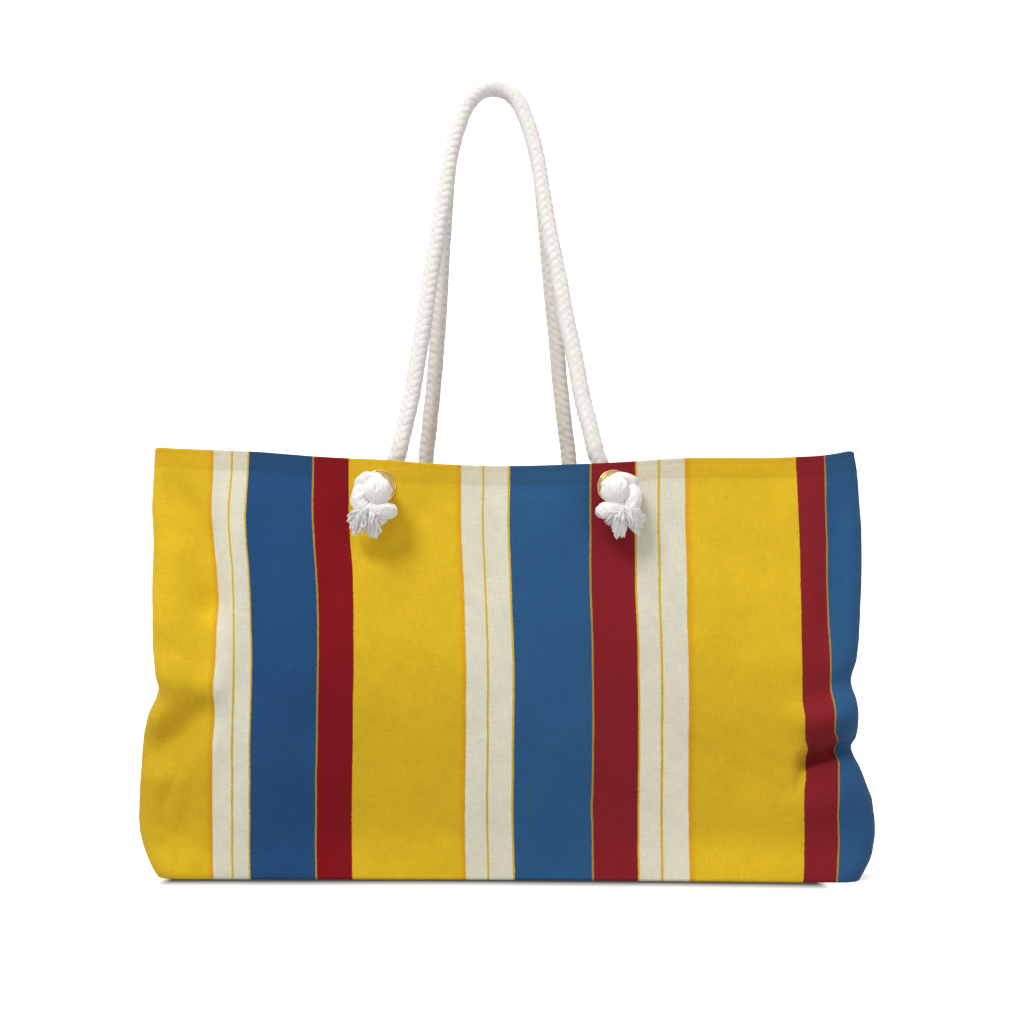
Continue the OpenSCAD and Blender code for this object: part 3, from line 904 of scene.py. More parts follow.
def lining_material(name, base, pitch=0.0006):
    mat, g, shader = principled(name)
    place_in = g.place()
    x, y, z = g.add("SeparateXYZ", {0: place_in}).node.outputs
    cloud = g.noise(place_in, 30.0, 5.0)
    grain = g.noise(place_in, 900.0)
    tone = g.times(g.scaled(cloud, 0.14, 0.93), g.scaled(grain, 0.2, 0.9))
    g.feed(shader, {
        "Base Color": g.toned(base, tone),
        "Normal": weave_bump(g, g.plus(x, y), z, pitch, 0.4, 0.00015, grain),
        "Roughness": g.scaled(cloud, 0.15, 0.78),
        "Sheen Weight": 0.15,
    })
    return mat


def rope_material(name, base, shade, pitch):
    """Cotton strands: fine yarn lines along each strand, and painted shade in the creases."""
    mat, g, shader = principled(name)
    fuzz = g.noise(g.place(), 1500.0, 3.0)
    cloud = g.noise(g.place(), 60.0, 4.0)
    yarn = g.times(g.attribute("yarn"), math.pi / pitch)
    lines = g.maths("ABSOLUTE", g.maths("SINE", yarn))
    tone = g.times(g.scaled(lines, 0.10, 0.90), g.scaled(cloud, 0.12, 0.94))
    g.feed(shader, {
        "Base Color": g.toned(g.mix(g.attribute("crease"), base, shade), tone),
        "Normal": g.bump(0.5, 0.00025, g.plus(lines, g.times(fuzz, 0.8))),
        "Roughness": g.scaled(fuzz, 0.15, 0.8),
        "Specular IOR Level": 0.2,
        "Sheen Weight": 0.25,
    })
    return mat


def dulled(colour, share):
    return tuple(c * share for c in colour[:3]) + (1,)


def metal_material(name, base, roughness, wear):
    mat, g, shader = principled(name)
    smudge = g.noise(g.place(), 160.0, 3.0)
    tarnish = g.ramp(smudge, 0.45, 0.75, 0.0, wear)
    g.feed(shader, {
        "Base Color": g.mix(tarnish, base, dulled(base, 0.6)),
        "Normal": g.bump(0.06, 0.0001, g.noise(g.place(), 1400.0)),
        "Roughness": g.scaled(smudge, 0.16, roughness - 0.08),
        "Metallic": 1.0,
    })
    return mat


def thread_material(name, base):
    mat, g, shader = principled(name)
    ply = g.add("TexWave", {"Vector": g.place(), "Scale": 900.0, "Distortion": 1.5}, "Fac")
    g.feed(shader, {
        "Base Color": g.mix(ply, dulled(base, 0.75), base),
        "Normal": g.bump(0.4, 0.0001, g.noise(g.place(), 1800.0)),
        "Roughness": 0.7,
    })
    return mat


canvas = canvas_material()
lining_cloth = lining_material("lining_cloth", srgb(232, 224, 204))
pocket_cloth = lining_material("pocket_cloth", srgb(226, 217, 195))
board_card = lining_material("board_card", srgb(196, 176, 140), 0.0012)
tape_cloth = lining_material("zip_tape_cloth", srgb(214, 203, 178), 0.0004)
# Painted shade: the back rope has a darker copy of the same cotton's colours
rope_cotton = {
    FRONT: rope_material("rope_cotton", srgb(242, 238, 233), srgb(219, 208, 199), 0.0012),
    BACK: rope_material("rope_cotton_back_painted_shade", srgb(232, 225, 218), srgb(206, 194, 184), 0.0012),
}
knot_cotton = rope_material("knot_cotton", srgb(250, 248, 247), srgb(229, 223, 220), 0.0010)
# Painted light: the tassel's yarn is a lighter copy of the knot's cotton, to undo the knot's shadow
# on it
yarn_cotton_painted_light = rope_material("yarn_cotton_painted_light", srgb(254, 253, 252), srgb(244, 240, 238), 0.0010)
brass = metal_material("grommet_brass", (0.72, 0.50, 0.19, 1), 0.18, 0.3)
zip_brass = metal_material("zip_brass", (0.62, 0.47, 0.22, 1), 0.34, 0.45)
cream_thread = thread_material("cream_thread", srgb(236, 228, 208))

# ---------------------------------------------------------------- ropes

FRONT_ROUTE = [
    (90, -72, 302), (90, -67, 302), (89.4, -62.2, 302.6), (88, -58.4, 305),
    (86, -56, 309), (83.8, -55, 314), (81.6, -55, 319), (79.8, -55.6, 325),
    (77.4, -56, 330), (75.9, -56, 336), (71.5, -52, 357), (67.6, -48, 375),
    (62.4, -42.5, 408), (56.8, -37, 441), (52.1, -32, 474), (46.4, -26.5, 508),
    (41.2, -21.5, 542), (36.2, -16.5, 576), (32.2, -13.5, 595), (27.3, -11, 612),
    (20.4, -8.8, 628.5), (11.6, -7.8, 637.9), (0, -7.5, 641.5),
]
BACK_ROUTE = [
    (90, 72, 302), (90, 67, 302), (88.6, 62.2, 302.6), (85.6, 58.4, 305),
    (81.8, 56, 309), (77.6, 55, 314), (73.4, 55, 319.2), (69.4, 55.6, 325),
    (66.6, 56, 330), (64.6, 56, 336), (61.5, 52, 360), (59, 48, 378),
    (54.5, 42.5, 416), (51, 37, 452), (47.6, 32, 486), (44.8, 26.5, 520),
    (41.8, 21.5, 553), (38, 16.5, 588), (33.8, 13.5, 607.5), (28.6, 11, 623),
    (21.6, 8.8, 638.5), (12.4, 7.8, 647), (0, 7.5, 650.5),
]
# How far the front and back ropes lean along X at heights
# How far the front and back ropes lean along X at heights
ROPE_LEAN = [
    (316, 0, 0), (336, 0.3, -0.8), (396, -0.3, -1.2), (430, -1.0, -1.3), (455, -1.8, -1.4),
    (525, -2.8, -2.6), (600, -3.2, -3.2), (660, -3.4, -3.4),
]
# Radius at heights
ROPE_R = [(330, 6.35), (400, 6.5), (450, 6.3), (500, 6.1), (560, 5.9), (640, 5.55)]
ROPE_STEP = 0.55
ROPE_SIDES = 48
STRAND_PITCH = 6.5
STRAND_TILT = math.radians(36)
# How far the middle of the closed ends stands out
CAP_OUT = 1.5
# How far round from the front the groove between two columns of strands lies
GROOVE_TURN = {FRONT: math.radians(16), BACK: math.radians(-40)}


def run_along(points, power=1.0):
    """Distance along a line of points, or the sum of its steps raised to a power."""
    steps = np.linalg.norm(np.diff(points, axis=0), axis=1) ** power
    return np.concatenate([[0], np.cumsum(steps)])


def smooth_path(points, step):
    """Points at even steps along a smooth curve through the given ones."""
    points = np.asarray(points, float)
    p = np.vstack([2 * points[0] - points[1], points, 2 * points[-1] - points[-2]])
    knots = run_along(p, 0.5)
    dense = []
    for i in range(len(p) - 3):
        t0, t1, t2, t3 = knots[i : i + 4]
        t = np.linspace(t1, t2, 24, endpoint=False)[:, None]

        def between(a, b, start, end):
            return (end - t) / (end - start) * a + (t - start) / (end - start) * b

        a1, a2, a3 = (between(*p[k : k + 2], *knots[k : k + 2]) for k in range(i, i + 3))
        dense.append(between(between(a1, a2, t0, t2), between(a2, a3, t1, t3), t1, t2))
    dense = np.vstack(dense + [points[-1:]])
    length = run_along(dense)
    count = max(2, int(round(length[-1] / step)) + 1)
    even = np.linspace(0, length[-1], count)
    return np.stack([np.interp(even, length, dense[:, k]) for k in range(3)], axis=-1)


def path_frames(path, start=(1.0, 0.0, 0.0)):
    """Tangents and two normals along a path, turned as little as possible."""
    tangent = np.gradient(path, axis=0)
    tangent /= np.linalg.norm(tangent, axis=1)[:, None]
    first = np.asarray(start, float)
    normal = np.empty_like(path)
    for i, t in enumerate(tangent):
        first = first - t * (first @ t)
        first = first / np.linalg.norm(first)
        normal[i] = first
    return tangent, normal, np.cross(tangent, normal)


def rings_round(path, n1, n2, phi, radius):
    """Points round a path, one ring for each of its points."""
    ring = np.cos(phi)[..., None] * n1[:, None] + np.sin(phi)[..., None] * n2[:, None]
    return path[:, None] + radius[..., None] * ring


def closed_tube(rings, ends):
    """Vertices and faces of a tube from its rings and a point to close each end."""
    rows, sides = rings.shape[:2]
    verts = np.vstack([rings.reshape(-1, 3), ends])
    around = np.arange(sides)
    following = (around + 1) % sides
    last = (rows - 1) * sides
    first_cap = np.stack([following, around, np.full(sides, len(verts) - 2)], -1)
    last_cap = np.stack([last + around, last + following, np.full(sides, len(verts) - 1)], -1)
    faces = grid_faces(rows, sides, closed=True).tolist()
    return verts, faces + first_cap.tolist() + last_cap.tolist()


def strand_attributes(yarn, shade):
    """Values for each point of the rings, with 0 for the points that close the ends."""
    return [np.concatenate([values.ravel(), [0.0, 0.0]]) for values in (yarn, shade)]


def braid(path, name, material, groove):
    """Rope with plaited strands: columns of tilted pads that lean alternate ways."""
    tangent, n1, n2 = path_frames(path)
    radius = smooth_along(ROPE_R, path[:, 2], 20.0)[:, None]
    top = len(path) // 2
    facing = math.atan2(-n2[top, 1], -n1[top, 1]) + groove
    step = np.linalg.norm(np.diff(path, axis=0), axis=1).mean()
    s = (np.arange(len(path)) * step)[:, None]
    phi = (math.tau * np.arange(ROPE_SIDES) / ROPE_SIDES)[None, :]
    cos_t, sin_t = math.cos(STRAND_TILT), math.sin(STRAND_TILT)
    half_width = STRAND_PITCH * cos_t / 2 * 1.12
    half_length = radius * math.pi / 4 / cos_t * 1.22
    best = np.full((len(path), ROPE_SIDES), -9.0)
    yarn = np.zeros_like(best)
    uneven = ripples(61, 9.0, 0.10)
    for k in range(4):
        lean = -1 if k % 2 == 0 else 1
        arc = (phi - facing - (k + 0.5) * math.pi / 2 + math.pi) % math.tau - math.pi
        arc = arc * radius
        offset = 0.5 * (k % 2)
        nearest = np.round(s / STRAND_PITCH - offset)
        for j in range(-2, 3):
            ds = s - (nearest + j + offset) * STRAND_PITCH
            l = arc * cos_t + ds * sin_t * lean
            d = -arc * sin_t * lean + ds * cos_t
            pad = 0.45 * (1 - (d / half_width) ** 2) - 0.65 * np.abs(l / half_length) ** 3.2
            wins = pad > best
            best = np.where(wins, pad, best)
            yarn = np.where(wins, d, yarn)
    height = np.clip(best, -0.55, 1.0) + uneven(s * 1.0, phi * radius)
    rings = rings_round(path, n1, n2, phi, radius + height)
    ends = path[0] - tangent[0] * CAP_OUT, path[-1] + tangent[-1] * CAP_OUT
    verts, faces = closed_tube(rings, ends)
    # crease holds painted shade, darker where the strands dip between their pads
    yarn, shade = strand_attributes(yarn * MM, np.clip((0.24 - best) / 0.8, 0, 1))
    return mesh_object(name, verts, faces, material, {"yarn": yarn, "crease": shade})


def whole_route(half, side):
    """The rope from inside the right-hand knot, over the top, to the left-hand one."""
    depth, out = half[0][1], side
    start = [(half[0][0] + 0.5, depth + out * 9, half[0][2] - 1.5)]
    right = start + list(half)
    left = [(-x, y, z) for x, y, z in reversed(right[:-1])]
    route = np.array(right + left)
    heights, *leans = zip(*ROPE_LEAN)
    route[:, 0] += np.interp(route[:, 2], heights, leans[0 if side == FRONT else 1])
    return route


for route, side, side_name in ((FRONT_ROUTE, FRONT, "front"), (BACK_ROUTE, BACK, "back")):
    path = smooth_path(whole_route(route, side), ROPE_STEP)
    rope = braid(path, f"{side_name}_rope_handle", rope_cotton[side], GROOVE_TURN[side])
    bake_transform(rope)
    rope_nodes = [f"{side_name}_rope_{part}" for part in ("ends", "bends", "loop")]
    place(rope, rope_nodes, "cotton_rope", body=None)


def strand(path, radius, sides, ridges=0, ridge_height=0.0, twist=0.0, lumps=None):
    """Vertices, faces and yarn coordinate of a closed tube whose radius may vary along it."""
    path = np.asarray(path, float)
    tangent, n1, n2 = path_frames(path, (0.0, 0.0, 1.0))
    radius = np.broadcast_to(np.asarray(radius, float), (len(path),)).copy()
    length = run_along(path)
    for end in (length, length[-1] - length):
        near = np.clip(1 - end / np.maximum(radius, 1e-6), 0, 1)
        radius = radius * np.sqrt(np.clip(1 - near**2, 0.02, 1))
    phi = math.tau * np.arange(sides) / sides
    turn = np.linspace(0, twist, len(path))[:, None]
    wave = np.zeros((len(path), sides))
    if ridges:
        waver, swell = lumps
        skin = phi[None] * radius[:, None]
        bent = phi[None] + turn + waver(skin, length[:, None])
        share = np.clip(0.55 + swell(skin + 40, length[:, None]), 0.1, 1.2)
        wave = np.cos(ridges * bent) * share
    r = radius[:, None] + ridge_height * wave * np.clip(radius[:, None] / 4, 0, 1)
    if ridges:
        r = r + 0.8 * swell(skin, length[:, None]) * np.clip(radius[:, None] / 6, 0, 1)
    verts, faces = closed_tube(rings_round(path, n1, n2, phi[None], r), [path[0], path[-1]])
    # Painted shade in the valleys between the ridges; loose yarns get only a slight even tint
    shade = np.clip(0.25 - 0.75 * wave, 0, 1) * (1.0 if ridges else 0.3)
    return verts, faces, *strand_attributes((phi[None] + turn) * 5.0 * MM, shade)


def joined(name, strands, material):
    """One mesh object from several strands."""
    verts, faces, yarn, shade = zip(*strands)
    firsts = np.cumsum([0] + [len(v) for v in verts])
    all_faces = [[i + int(first) for i in face] for first, f in zip(firsts, faces) for face in f]
    attributes = {"yarn": np.concatenate(yarn), "crease": np.concatenate(shade)}
    return mesh_object(name, np.vstack(verts), all_faces, material, attributes)


# Lobes of a knot: points (inward, up, out of the panel) from the grommet's middle, and radii
KNOT_LOBES = [
    (
        [(0.5, -1, 2), (1.0, -1.8, 7), (0.7, -3.6, 12), (0.4, -6.4, 15.5), (-0.4, -11.2, 16.5),
         (-2, -16, 15)],
        [6.4, 8.2, 10.0, 10.9, 10.6, 8.8],
    ),
    (
        [(-5, -1, 6), (-10, -3, 10), (-12.6, -8, 13), (-12.8, -13, 14.5), (-10.6, -17.6, 15),
         (-5, -20.2, 14)],
        [5.0, 6.0, 6.8, 7.2, 6.8, 5.6],
    ),
    (
        [(-8, -3, 7), (-12.4, -0.6, 9.5), (-10.4, 2.0, 11.5), (-5.5, 3.1, 12), (-0.5, 1.8, 12),
         (3.2, -1.8, 11)],
        [4.6, 5.7, 5.8, 5.8, 5.8, 5.2],
    ),
    ([(-8, -14, 9), (-9.5, -16.5, 12), (-8, -18.5, 13)], [5.0, 6.0, 5.4]),
    (
        [(-12, -19, 12), (-5, -20, 15.5), (2, -20.2, 17), (9, -20.8, 16), (15.0, -22.4, 13.5)],
        [4.8, 6.2, 6.7, 6.4, 4.2],
    ),
]
KNOT_RIDGES = 25
# Clumps of frayed yarn: tip (inward, up, out), how wide it spreads at the tip, yarns in it
TASSEL_TIPS = [
    ((-21.9, -24.6, 12), 0.7, 7), ((-22.6, -28.3, 11), 0.7, 7), ((-20.3, -32.6, 11), 0.8, 8),
    ((-18.4, -37.8, 10), 0.9, 14), ((-15.0, -35.5, 12), 1.5, 12), ((-11.0, -32.0, 14), 1.8, 12),
    ((-7.0, -36.0, 11), 1.2, 10), ((-5.4, -39.6, 12), 0.9, 11), ((-3.0, -39.8, 13), 0.9, 10),
    ((-1.4, -40.6, 12), 0.8, 13), ((1.0, -36.4, 14), 1.1, 11), ((3.0, -31.6, 14), 1.2, 12),
    ((5.8, -28.4, 12), 1.1, 10), ((-12.0, -29.0, 19), 2.4, 10), ((-3.0, -31.0, 20), 2.6, 14),
    ((4.0, -27.5, 19), 2.2, 10),
]



def at_knot(points, side, hand):
    """Points given from a grommet's middle, put on that grommet of the bag."""
    inward, up, out = np.asarray(points, float).T
    x = hand * (GROMMET_X - inward)
    return np.stack([x, side * (DEPTH + out), GROMMET_Z + up], axis=-1)


def knot(side, hand, name):
    rng = np.random.default_rng(700 + 10 * side + hand)
    strands = []
    lumps = ripples(71 + 3 * side + hand, 7, 0.06), ripples(81 + 3 * side + hand, 6.5, 0.36)
    for points, radii in KNOT_LOBES:
        points = np.array(points) + rng.uniform(-0.35, 0.35, (len(points), 3))
        path = smooth_path(at_knot(points, side, hand), 0.7)
        even = (np.linspace(0, 1, len(values)) for values in (path, radii))
        spread = np.interp(*even, radii)
        strands.append(strand(path, spread, 100, KNOT_RIDGES, 0.26, rng.uniform(0.3, 0.9), lumps))
    return joined(name, strands, knot_cotton)


def tassel(side, hand, name):
    rng = np.random.default_rng(900 + 10 * side + hand)
    strands = []
    for tip, spread, count in TASSEL_TIPS:
        for _ in range(count):
            end = np.array(tip) + rng.normal(0, spread, 3) * (1, 1, 0.8)
            end[2] = max(end[2], 3.0)
            begin = np.array((-2 + tip[0] * 0.35, -19.5, 18.5)) + rng.normal(0, 1.5, 3)
            mid = begin * 0.55 + end * 0.45 + np.array((0, 0.6, 2.6)) + rng.normal(0, 0.8, 3)
            low = begin * 0.2 + end * 0.8 + rng.normal(0, 0.7, 3)
            path = smooth_path(at_knot([begin, mid, low, end], side, hand), 1.3)
            radius = np.linspace(1.1, 0.72, len(path)) * rng.uniform(0.85, 1.15)
            strands.append(strand(path, radius, 7))
    return joined(name, strands, yarn_cotton_painted_light)


# ---------------------------------------------------------------- grommets


def closed_rings(grid, flip=False):
    """Faces of rings of points, stored ring by ring, where the last ring joins the first."""
    rows, columns_ = grid.shape[:2]
    faces = grid_faces(rows + 1, columns_, closed=True, flip=flip)
    return faces % (rows * columns_)


def lathe(profile, name, material, centre, axis_y, steps=96):
    """Ring turned from a closed profile of (radius, distance out along the axis)."""
    angle = (math.tau * np.arange(steps) / steps)[:, None]
    r, out = np.asarray(profile, float).T
    x = centre[0] + r * np.cos(angle)
    z = centre[2] + r * np.sin(angle)
    y = centre[1] + axis_y * (out + 0 * angle)
    grid = np.stack([x, y, z], axis=-1)
    return mesh_object(name, grid, closed_rings(grid, flip=axis_y > 0), material)


def arc(cx, cy, rx, ry, start, end, count):
    angles = np.radians(np.linspace(start, end, count))
    return [(cx + rx * math.cos(a), cy + ry * math.sin(a)) for a in angles]


FLANGE_R = (GROMMET_BOX[1][0] - GROMMET_BOX[0][0]) / 2 / MM
BORE_R = 7.5
WASHER_OUT = -3.4
grommet_profile = (
    arc(FLANGE_R - 0.75, 0.8, 0.75, 0.8, -90, 90, 9)
    + arc(FLANGE_R - 1.9, 1.0, 0.75, 0.45, 80, 100, 3)
    + arc((FLANGE_R + BORE_R) / 2 + 0.2, 0.75, 1.5, 1.05, 70, 140, 8)
    + arc(BORE_R + 1.0, 0.35, 1.0, 0.9, 90, 180, 6)
    + [(BORE_R, -0.6), (BORE_R, -2.6), (BORE_R, WASHER_OUT - 0.1)]
    + arc(BORE_R + 1.3, WASHER_OUT - 0.1, 1.3, 0.65, 180, 360, 10)
    + [(BORE_R + 0.6, WASHER_OUT - 0.05), (BORE_R + 0.6, -0.3), (BORE_R + 1.2, 0.0)]
)
washer_profile = (
    arc(FLANGE_R - 1.0, WASHER_OUT + 0.3, 0.4, 0.3, -90, 90, 6)
    + arc(BORE_R + 1.2, WASHER_OUT + 0.3, 0.4, 0.3, 90, 270, 6)
)

for side, side_name in ((FRONT, "front"), (BACK, "back")):
    for hand, hand_name in ((LEFT, "left"), (RIGHT, "right")):
        stem = f"{side_name}_{hand_name}"
        centre = (hand * GROMMET_X, side * DEPTH, GROMMET_Z)
        ring = lathe(grommet_profile, f"{stem}_grommet_ring", brass, centre, side)
        place(ring, [f"{stem}_grommet"], "brass")
        plate = lathe(washer_profile, f"{stem}_washer_ring", brass, centre, side)
        place(plate, [f"{stem}_washer"], "brass")
        place(knot(side, hand, f"{stem}_knot_lobes"), [f"{stem}_knot"], "cotton_rope")
        place(tassel(side, hand, f"{stem}_tassel_yarn"), [f"{stem}_tassel"], "rope_yarn")

# ---------------------------------------------------------------- cloth pieces


# A stitch along its length: place from 0 to 1, lift and thickness as shares of its radius
STITCH_SHAPE = [
    (0.0, -0.55, 0.35), (0.1, 0.25, 0.8), (0.5, 0.62, 1.0), (0.9, 0.25, 0.8), (1.0, -0.55, 0.35)
]
STITCH_SIDES = 6


def point_at(run, line, at):
    """Point, or direction, at a distance along a line."""
    return np.array([np.interp(at, run, line[:, k]) for k in range(3)])


def stitches(name, points, normals, length, gap, radius, material, sink=0.15, across=None):
    """A row of thread stitches along a line of points lying on cloth."""
    run = run_along(points)
    starts = np.arange(0.5, run[-1] - length, length + gap)
    rows, sides = len(STITCH_SHAPE), STITCH_SIDES
    turns = math.tau * np.arange(sides) / sides
    verts, faces = [], []
    for start in starts:
        ends = [point_at(run, points, start + f * length) for f in (0, 1)]
        n = point_at(run, normals, start + length / 2)
        n /= np.linalg.norm(n)
        t = ends[1] - ends[0]
        t /= np.linalg.norm(t)
        b = np.cross(t, n)
        first = len(verts)
        for along_it, lift, fat in STITCH_SHAPE:
            c = ends[0] * (1 - along_it) + ends[1] * along_it + n * (lift * radius - sink)
            verts += [c + radius * fat * (math.cos(a) * b + 0.8 * math.sin(a) * n) for a in turns]
        faces += (grid_faces(rows, sides, closed=True, flip=True) + first).tolist()
        faces.append([first + k for k in range(sides)])
        faces.append([first + (rows - 1) * sides + k for k in reversed(range(sides))])
    extra = None
    if across is not None:
        cloth_x = np.repeat(np.interp(starts + length / 2, run, across) * MM, rows * sides)
        cloth_y = np.array(verts)[:, 2] * MM
        extra = {"cloth_x": cloth_x, "cloth_y": cloth_y, "rim_drop": 0 * cloth_x}
    return mesh_object(name, np.array(verts), faces, material, extra)


for side, side_name in ((FRONT, "front"), (BACK, "back")):
    cloth = canvas_panel(side, f"{side_name}_canvas")
    place(cloth, [f"{side_name}_panel"], "striped_canvas")
    turned = place(hem(side, f"{side_name}_hem_turned"), [f"{side_name}_hem"], "striped_canvas")
    lining = lining_panel(side, f"{side_name}_lining_cloth")
    place(lining, [f"{side_name}_lining"], "lining_cloth")
    segment, t = columns()
    height = rim_height(side, segment, t) - STITCH_DROP
    line, across, normal = shell(side, segment, t, height, inset=-0.13)
    across = across * -side
    across = across - stripe_drift(across, height)
    topstitch = stitches(
        f"{side_name}_topstitch", line, normal, 2.3, 0.9, 0.22, canvas, 0.12, across
    )
    place(topstitch, [], "striped_canvas")


def board(name):
    """Stiffener that keeps the base flat, with rounded corners and edges."""
    left, right = along(LEFT_EDGE, 3) - 6, along(RIGHT_EDGE, 3) - 6
    depth, corner, rounded = along(SIDE_DEPTH, 0) - 5, 12.0, 0.7
    low, high = CANVAS_T + 0.1, FLOOR_Z - LINING_T - 0.1
    outline = []
    for cx, cy, first in (
        (right - corner, depth - corner, 0), (-left + corner, depth - corner, 90),
        (-left + corner, -depth + corner, 180), (right - corner, -depth + corner, 270),
    ):
        outline += [(cx, cy, math.radians(first + a)) for a in range(0, 91, 9)]
    rings = [
        (corner - 3, low), (corner - rounded, low), (corner, low + rounded),
        (corner, high - rounded), (corner - rounded, high), (corner - 3, high),
    ]
    verts = [
        (cx + r * math.cos(a), cy + r * math.sin(a), z) for r, z in rings for cx, cy, a in outline
    ]
    count = len(outline)
    faces = grid_faces(len(rings), count, closed=True).tolist()
    faces.append(list(reversed(range(count))))
    faces.append([(len(rings) - 1) * count + k for k in range(count)])
    return mesh_object(name, verts, faces, board_card)


place(board("base_board_card"), ["base_board"], "base_board")

# ---------------------------------------------------------------- pockets and zip

RIM_MEAN = 326.0


def over_face(side, x, z, inset):
    """Points over the flat of the front or back, inset from the canvas face."""
    x, z = np.broadcast_arrays(np.asarray(x, float), np.asarray(z, float))
    left, right = (edge - along(CORNER, z) for edge in edges(z))
    return shell(side, np.full(x.shape, 2), (x + left) / (left + right), z, inset=inset)[0]


def inside(side, x, z, gap=0.0):
    """Points that stand gap off the lining's inner face, into the bag."""
    return over_face(side, x, z, lining_inset(side, x, z, RIM_MEAN) + LINING_T + gap)


POCKET_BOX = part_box("slip_pocket")
POCKET_HALF = POCKET_BOX[1][0] / MM
POCKET_FOOT = POCKET_BOX[0][2] / MM
POCKET_TOP = POCKET_BOX[1][2] / MM
POCKET_T = 0.5
POCKET_SEAM = 3.0
POCKET_HEM = 12.0
POCKET_SLACK = 4.6
POCKET_SAG = 2.6
pocket_pucker = ripples(91, 17, 0.16)


def pocket_point(x, z, below=0.0):
    """Points of the slip pocket's cloth, or below its face, for places on the flat cloth."""
    up = np.clip((z - POCKET_FOOT) / (POCKET_TOP - POCKET_FOOT), 0, 1)
    mouth = (1 - np.clip(np.abs(x) / POCKET_HALF, 0, 1) ** 2) * up**2
    to_edge = np.minimum(POCKET_HALF - np.abs(x), z - POCKET_FOOT)
    to_mouth = POCKET_TOP - z
    rounded = np.sqrt(np.clip(to_edge / 0.8, 0, 1))
    doubled = 1 / (1 + np.exp((to_mouth - POCKET_HEM) / 1.2))
    stitched = np.exp(-(((to_edge - POCKET_SEAM) / 1.1) ** 2))
    stitched = stitched + np.exp(-(((to_mouth - POCKET_HEM + 1.5) / 1.1) ** 2))
    gap = 0.12 + POCKET_T * rounded + 0.7 * doubled * rounded + POCKET_SLACK * mouth
    gap = gap + np.abs(pocket_pucker(x, z)) * np.clip(to_edge / 8, 0, 1) - 0.16 * stitched
    return inside(FRONT, x, z - POCKET_SAG * mouth, np.maximum(gap, 0.1) - below)


def slip_pocket(name):
    """Patch pocket: sewn on three sides, with a slack hemmed mouth."""
    edge = np.array([0, 0.15, 0.4, 0.8, 1.4, 2.2, 3.0, 3.8, 4.8])
    middle = np.linspace(-POCKET_HALF + 6.5, POCKET_HALF - 6.5, 90)
    x = np.concatenate([edge - POCKET_HALF, middle, (POCKET_HALF - edge)[::-1]])
    z = np.concatenate([POCKET_FOOT + edge, np.linspace(POCKET_FOOT + 6.5, POCKET_TOP, 64)])
    grid = [pocket_point(x, np.full(len(x), row)) for row in z]
    roll = (POCKET_T + 0.1) / 2
    for angle in np.linspace(0, math.pi, 6)[1:]:
        row = pocket_point(x, np.full(len(x), POCKET_TOP), roll * (1 - math.cos(angle)))
        row[:, 2] += roll * math.sin(angle)
        grid.append(row)
    for drop in (1.5, 4, 7, 10, POCKET_HEM):
        grid.append(pocket_point(x, np.full(len(x), POCKET_TOP - drop), 2 * roll))
    faces = grid_faces(len(grid), len(x), flip=True)
    return thicken(mesh_object(name, np.array(grid), faces, pocket_cloth), POCKET_T)


def flat_stitches(name, line, normal, *sizes):
    """Cream stitches on a flat line, with one normal for all of it."""
    return stitches(name, line, np.tile(normal, (len(line), 1)), *sizes[:3], cream_thread, sizes[3])


def pocket_stitches(name):
    """Stitches down the sides and along the foot, then one row along the mouth's hem."""
    reach = POCKET_HALF - POCKET_SEAM
    low = POCKET_FOOT + POCKET_SEAM
    down = np.linspace(POCKET_TOP - 1.5, low, 60)
    row = np.linspace(-reach, reach, 90)
    x = np.concatenate([np.full(60, -reach), row[1:-1], np.full(60, reach)])
    z = np.concatenate([down, np.full(88, low), down[::-1]])
    hem_row = np.full(90, POCKET_TOP - POCKET_HEM + 1.5)
    rows = [pocket_point(x, z), pocket_point(row, hem_row)]
    return [
        flat_stitches(f"{name}_{k}", points, (0.0, 1.0, 0.0), 2.4, 0.9, 0.2, 0.08)
        for k, points in enumerate(rows)
    ]


pocket = place(slip_pocket("slip_pocket_cloth"), ["slip_pocket"], "lining_cloth")
pocket_seams = pocket_stitches("slip_pocket_stitches")
for seam in pocket_seams:
    place(seam, [], "lining_cloth")

BAG_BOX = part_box("zip_pocket_bag")
BAG_IN = CANVAS_T + 0.2
BAG_T = 0.4
BAG_CORNER = 18


def pocket_bag(name):
    """The zip pocket's bag between lining and canvas, with rounded lower corners."""
    half, low, high = BAG_BOX[1][0] / MM, BAG_BOX[0][2] / MM, BAG_BOX[1][2] / MM
    u = np.linspace(-1, 1, 70)
    grid = []
    for z in np.linspace(low, high, 60):
        low_share = np.clip(1 - (z - low) / BAG_CORNER, 0, 1)
        inset = BAG_CORNER * (1 - math.sqrt(1 - low_share**2))
        grid.append(over_face(BACK, u * (half - inset), np.full(len(u), z), BAG_IN))
    faces = grid_faces(len(grid), len(u), flip=True)
    return thicken(mesh_object(name, np.array(grid), faces, pocket_cloth), BAG_T)


pouch = place(pocket_bag("zip_pocket_bag_cloth"), ["zip_pocket_bag"], "lining_cloth")

ZIP_FACE = DEPTH - LINING_IN - LINING_T


def ring_of(profile, half_l, half_h, name, material):
    """Soft frame round a window: profile is (distance out from the window, height off the cloth)."""
    rings = []
    for out, height in profile:
        corner = 1.5 + out
        ring = []
        for sx, sz, first in ((1, 1, 0), (-1, 1, 90), (-1, -1, 180), (1, -1, 270)):
            for a in np.radians(np.linspace(first, first + 90, 8)):
                ring.append((
                    sx * (half_l + out - corner) + corner * math.cos(a),
                    ZIP_FACE - height,
                    ZIP_Z + sz * (half_h + out - corner) + corner * math.sin(a),
                ))
        rings.append(ring)
    grid = np.array(rings)
    return mesh_object(name, grid, closed_rings(grid), material)


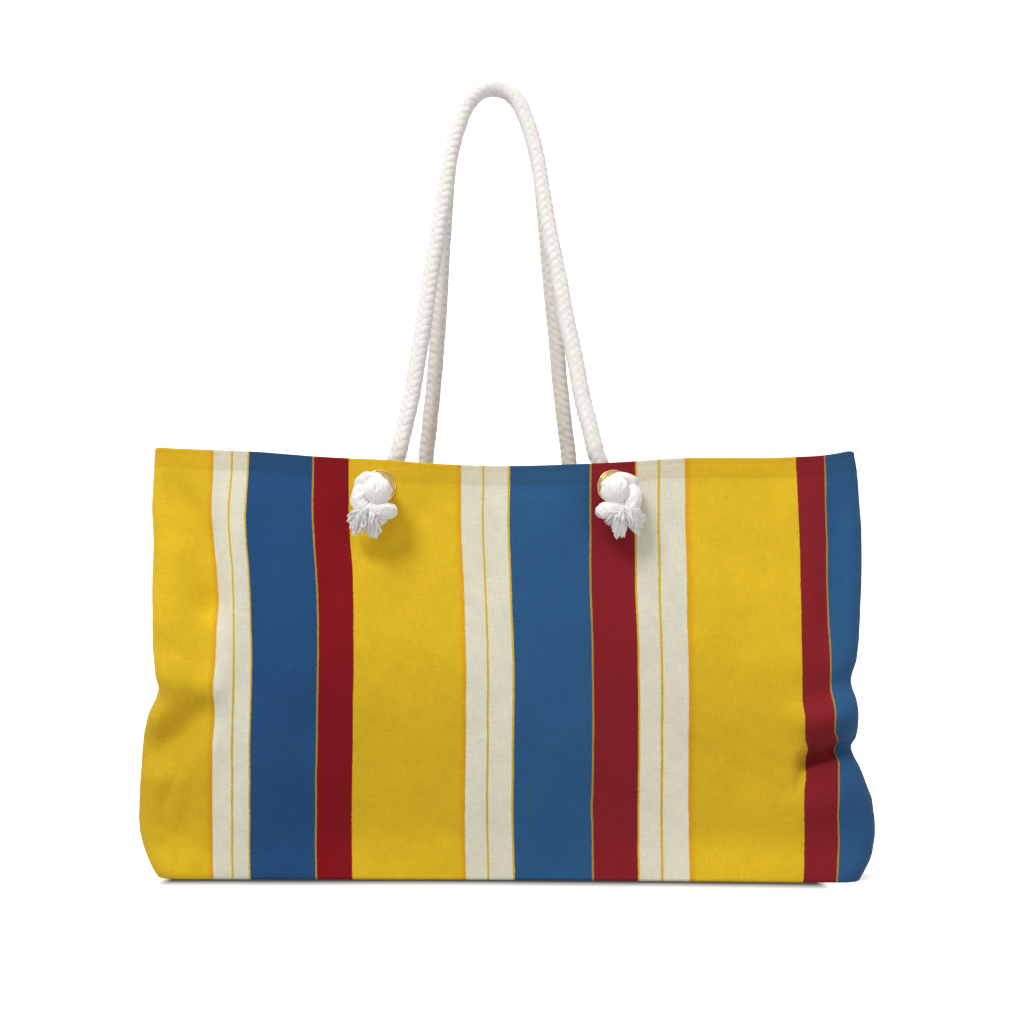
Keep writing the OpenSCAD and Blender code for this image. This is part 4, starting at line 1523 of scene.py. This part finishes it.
WELT_PROFILE = [
    (0.0, -0.5), (-0.15, -0.1), (0.0, 0.4), (0.4, 0.68), (1.1, 0.72), (1.7, 0.5), (2.4, 0.68),
    (4.2, 0.7), (4.8, 0.48), (5.4, 0.62), (5.9, 0.45), (6.05, 0.15), (5.9, -0.02), (3.0, -0.02),
    (0.8, -0.05), (0.5, -0.5),
]
welt = ring_of(WELT_PROFILE, ZIP_L / 2, ZIP_SLOT / 2, "zip_welt_cloth", pocket_cloth)
place(welt, ["zip_welt"], "lining_cloth")


def welt_stitches(name, out):
    """Stitches round the zip, out from the window's edge."""
    x, z = ZIP_L / 2 + out, ZIP_SLOT / 2 + out
    corners = [(-x, -z), (x, -z), (x, z), (-x, z), (-x, -z)]
    line = np.array([(a, ZIP_FACE - 0.56, ZIP_Z + b) for a, b in corners])
    line = np.concatenate([
        np.linspace(p, q, 40, endpoint=False) for p, q in zip(line[:-1], line[1:])
    ])
    return flat_stitches(name, line, (0.0, -1.0, 0.0), 2.2, 0.8, 0.17, 0.04)


place(welt_stitches("zip_welt_stitches_inner", 1.7), [], "lining_cloth")
place(welt_stitches("zip_welt_stitches_outer", 4.8), [], "lining_cloth")


def tape(node, name):
    """Woven tape with a thicker edge beside the teeth, and cut ends."""
    low, high = ((np.array(corner) / MM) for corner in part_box(node))
    width = high[2] - low[2]
    inner = low[2] if low[2] > ZIP_Z - 1 else high[2]
    away = 1 if inner == low[2] else -1
    middle = (low[1] + high[1]) / 2
    section = [
        (0.0, 0.0), (0.12, 0.16), (0.5, 0.22), (1.1, 0.2), (1.6, 0.12), (3, 0.14), (6, 0.14),
        (9, 0.14), (width - 0.9, 0.15), (width - 0.4, 0.2), (width - 0.08, 0.12), (width, 0.0),
    ]
    loop = section + [(w, -h) for w, h in reversed(section[1:-1])]
    weave = ripples(95 + away, 22, 0.03)
    grid = []
    for x in np.linspace(low[0], high[0], 110):
        grid.append([(x, middle + h + weave(x, w), inner + away * w) for w, h in loop])
    count = len(loop)
    faces = grid_faces(len(grid), count, closed=True, flip=away > 0).tolist()
    ends = list(range(count)), list(range((len(grid) - 1) * count, len(grid) * count))
    faces.append(ends[0] if away > 0 else ends[0][::-1])
    faces.append(ends[1][::-1] if away > 0 else ends[1])
    return mesh_object(name, np.array(grid), faces, tape_cloth)


for which in ("upper", "lower"):
    place(tape(f"zip_tape_{which}", f"zip_tape_{which}_woven"), [f"zip_tape_{which}"], "zip_tape")

for node in ("zip_teeth_upper", "zip_teeth_lower", "zip_stops", "zip_slider", "zip_pull"):
    for material_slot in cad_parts[node].material_slots:
        material_slot.link = "OBJECT"
        material_slot.material = zip_brass

bpy.context.view_layer.update()
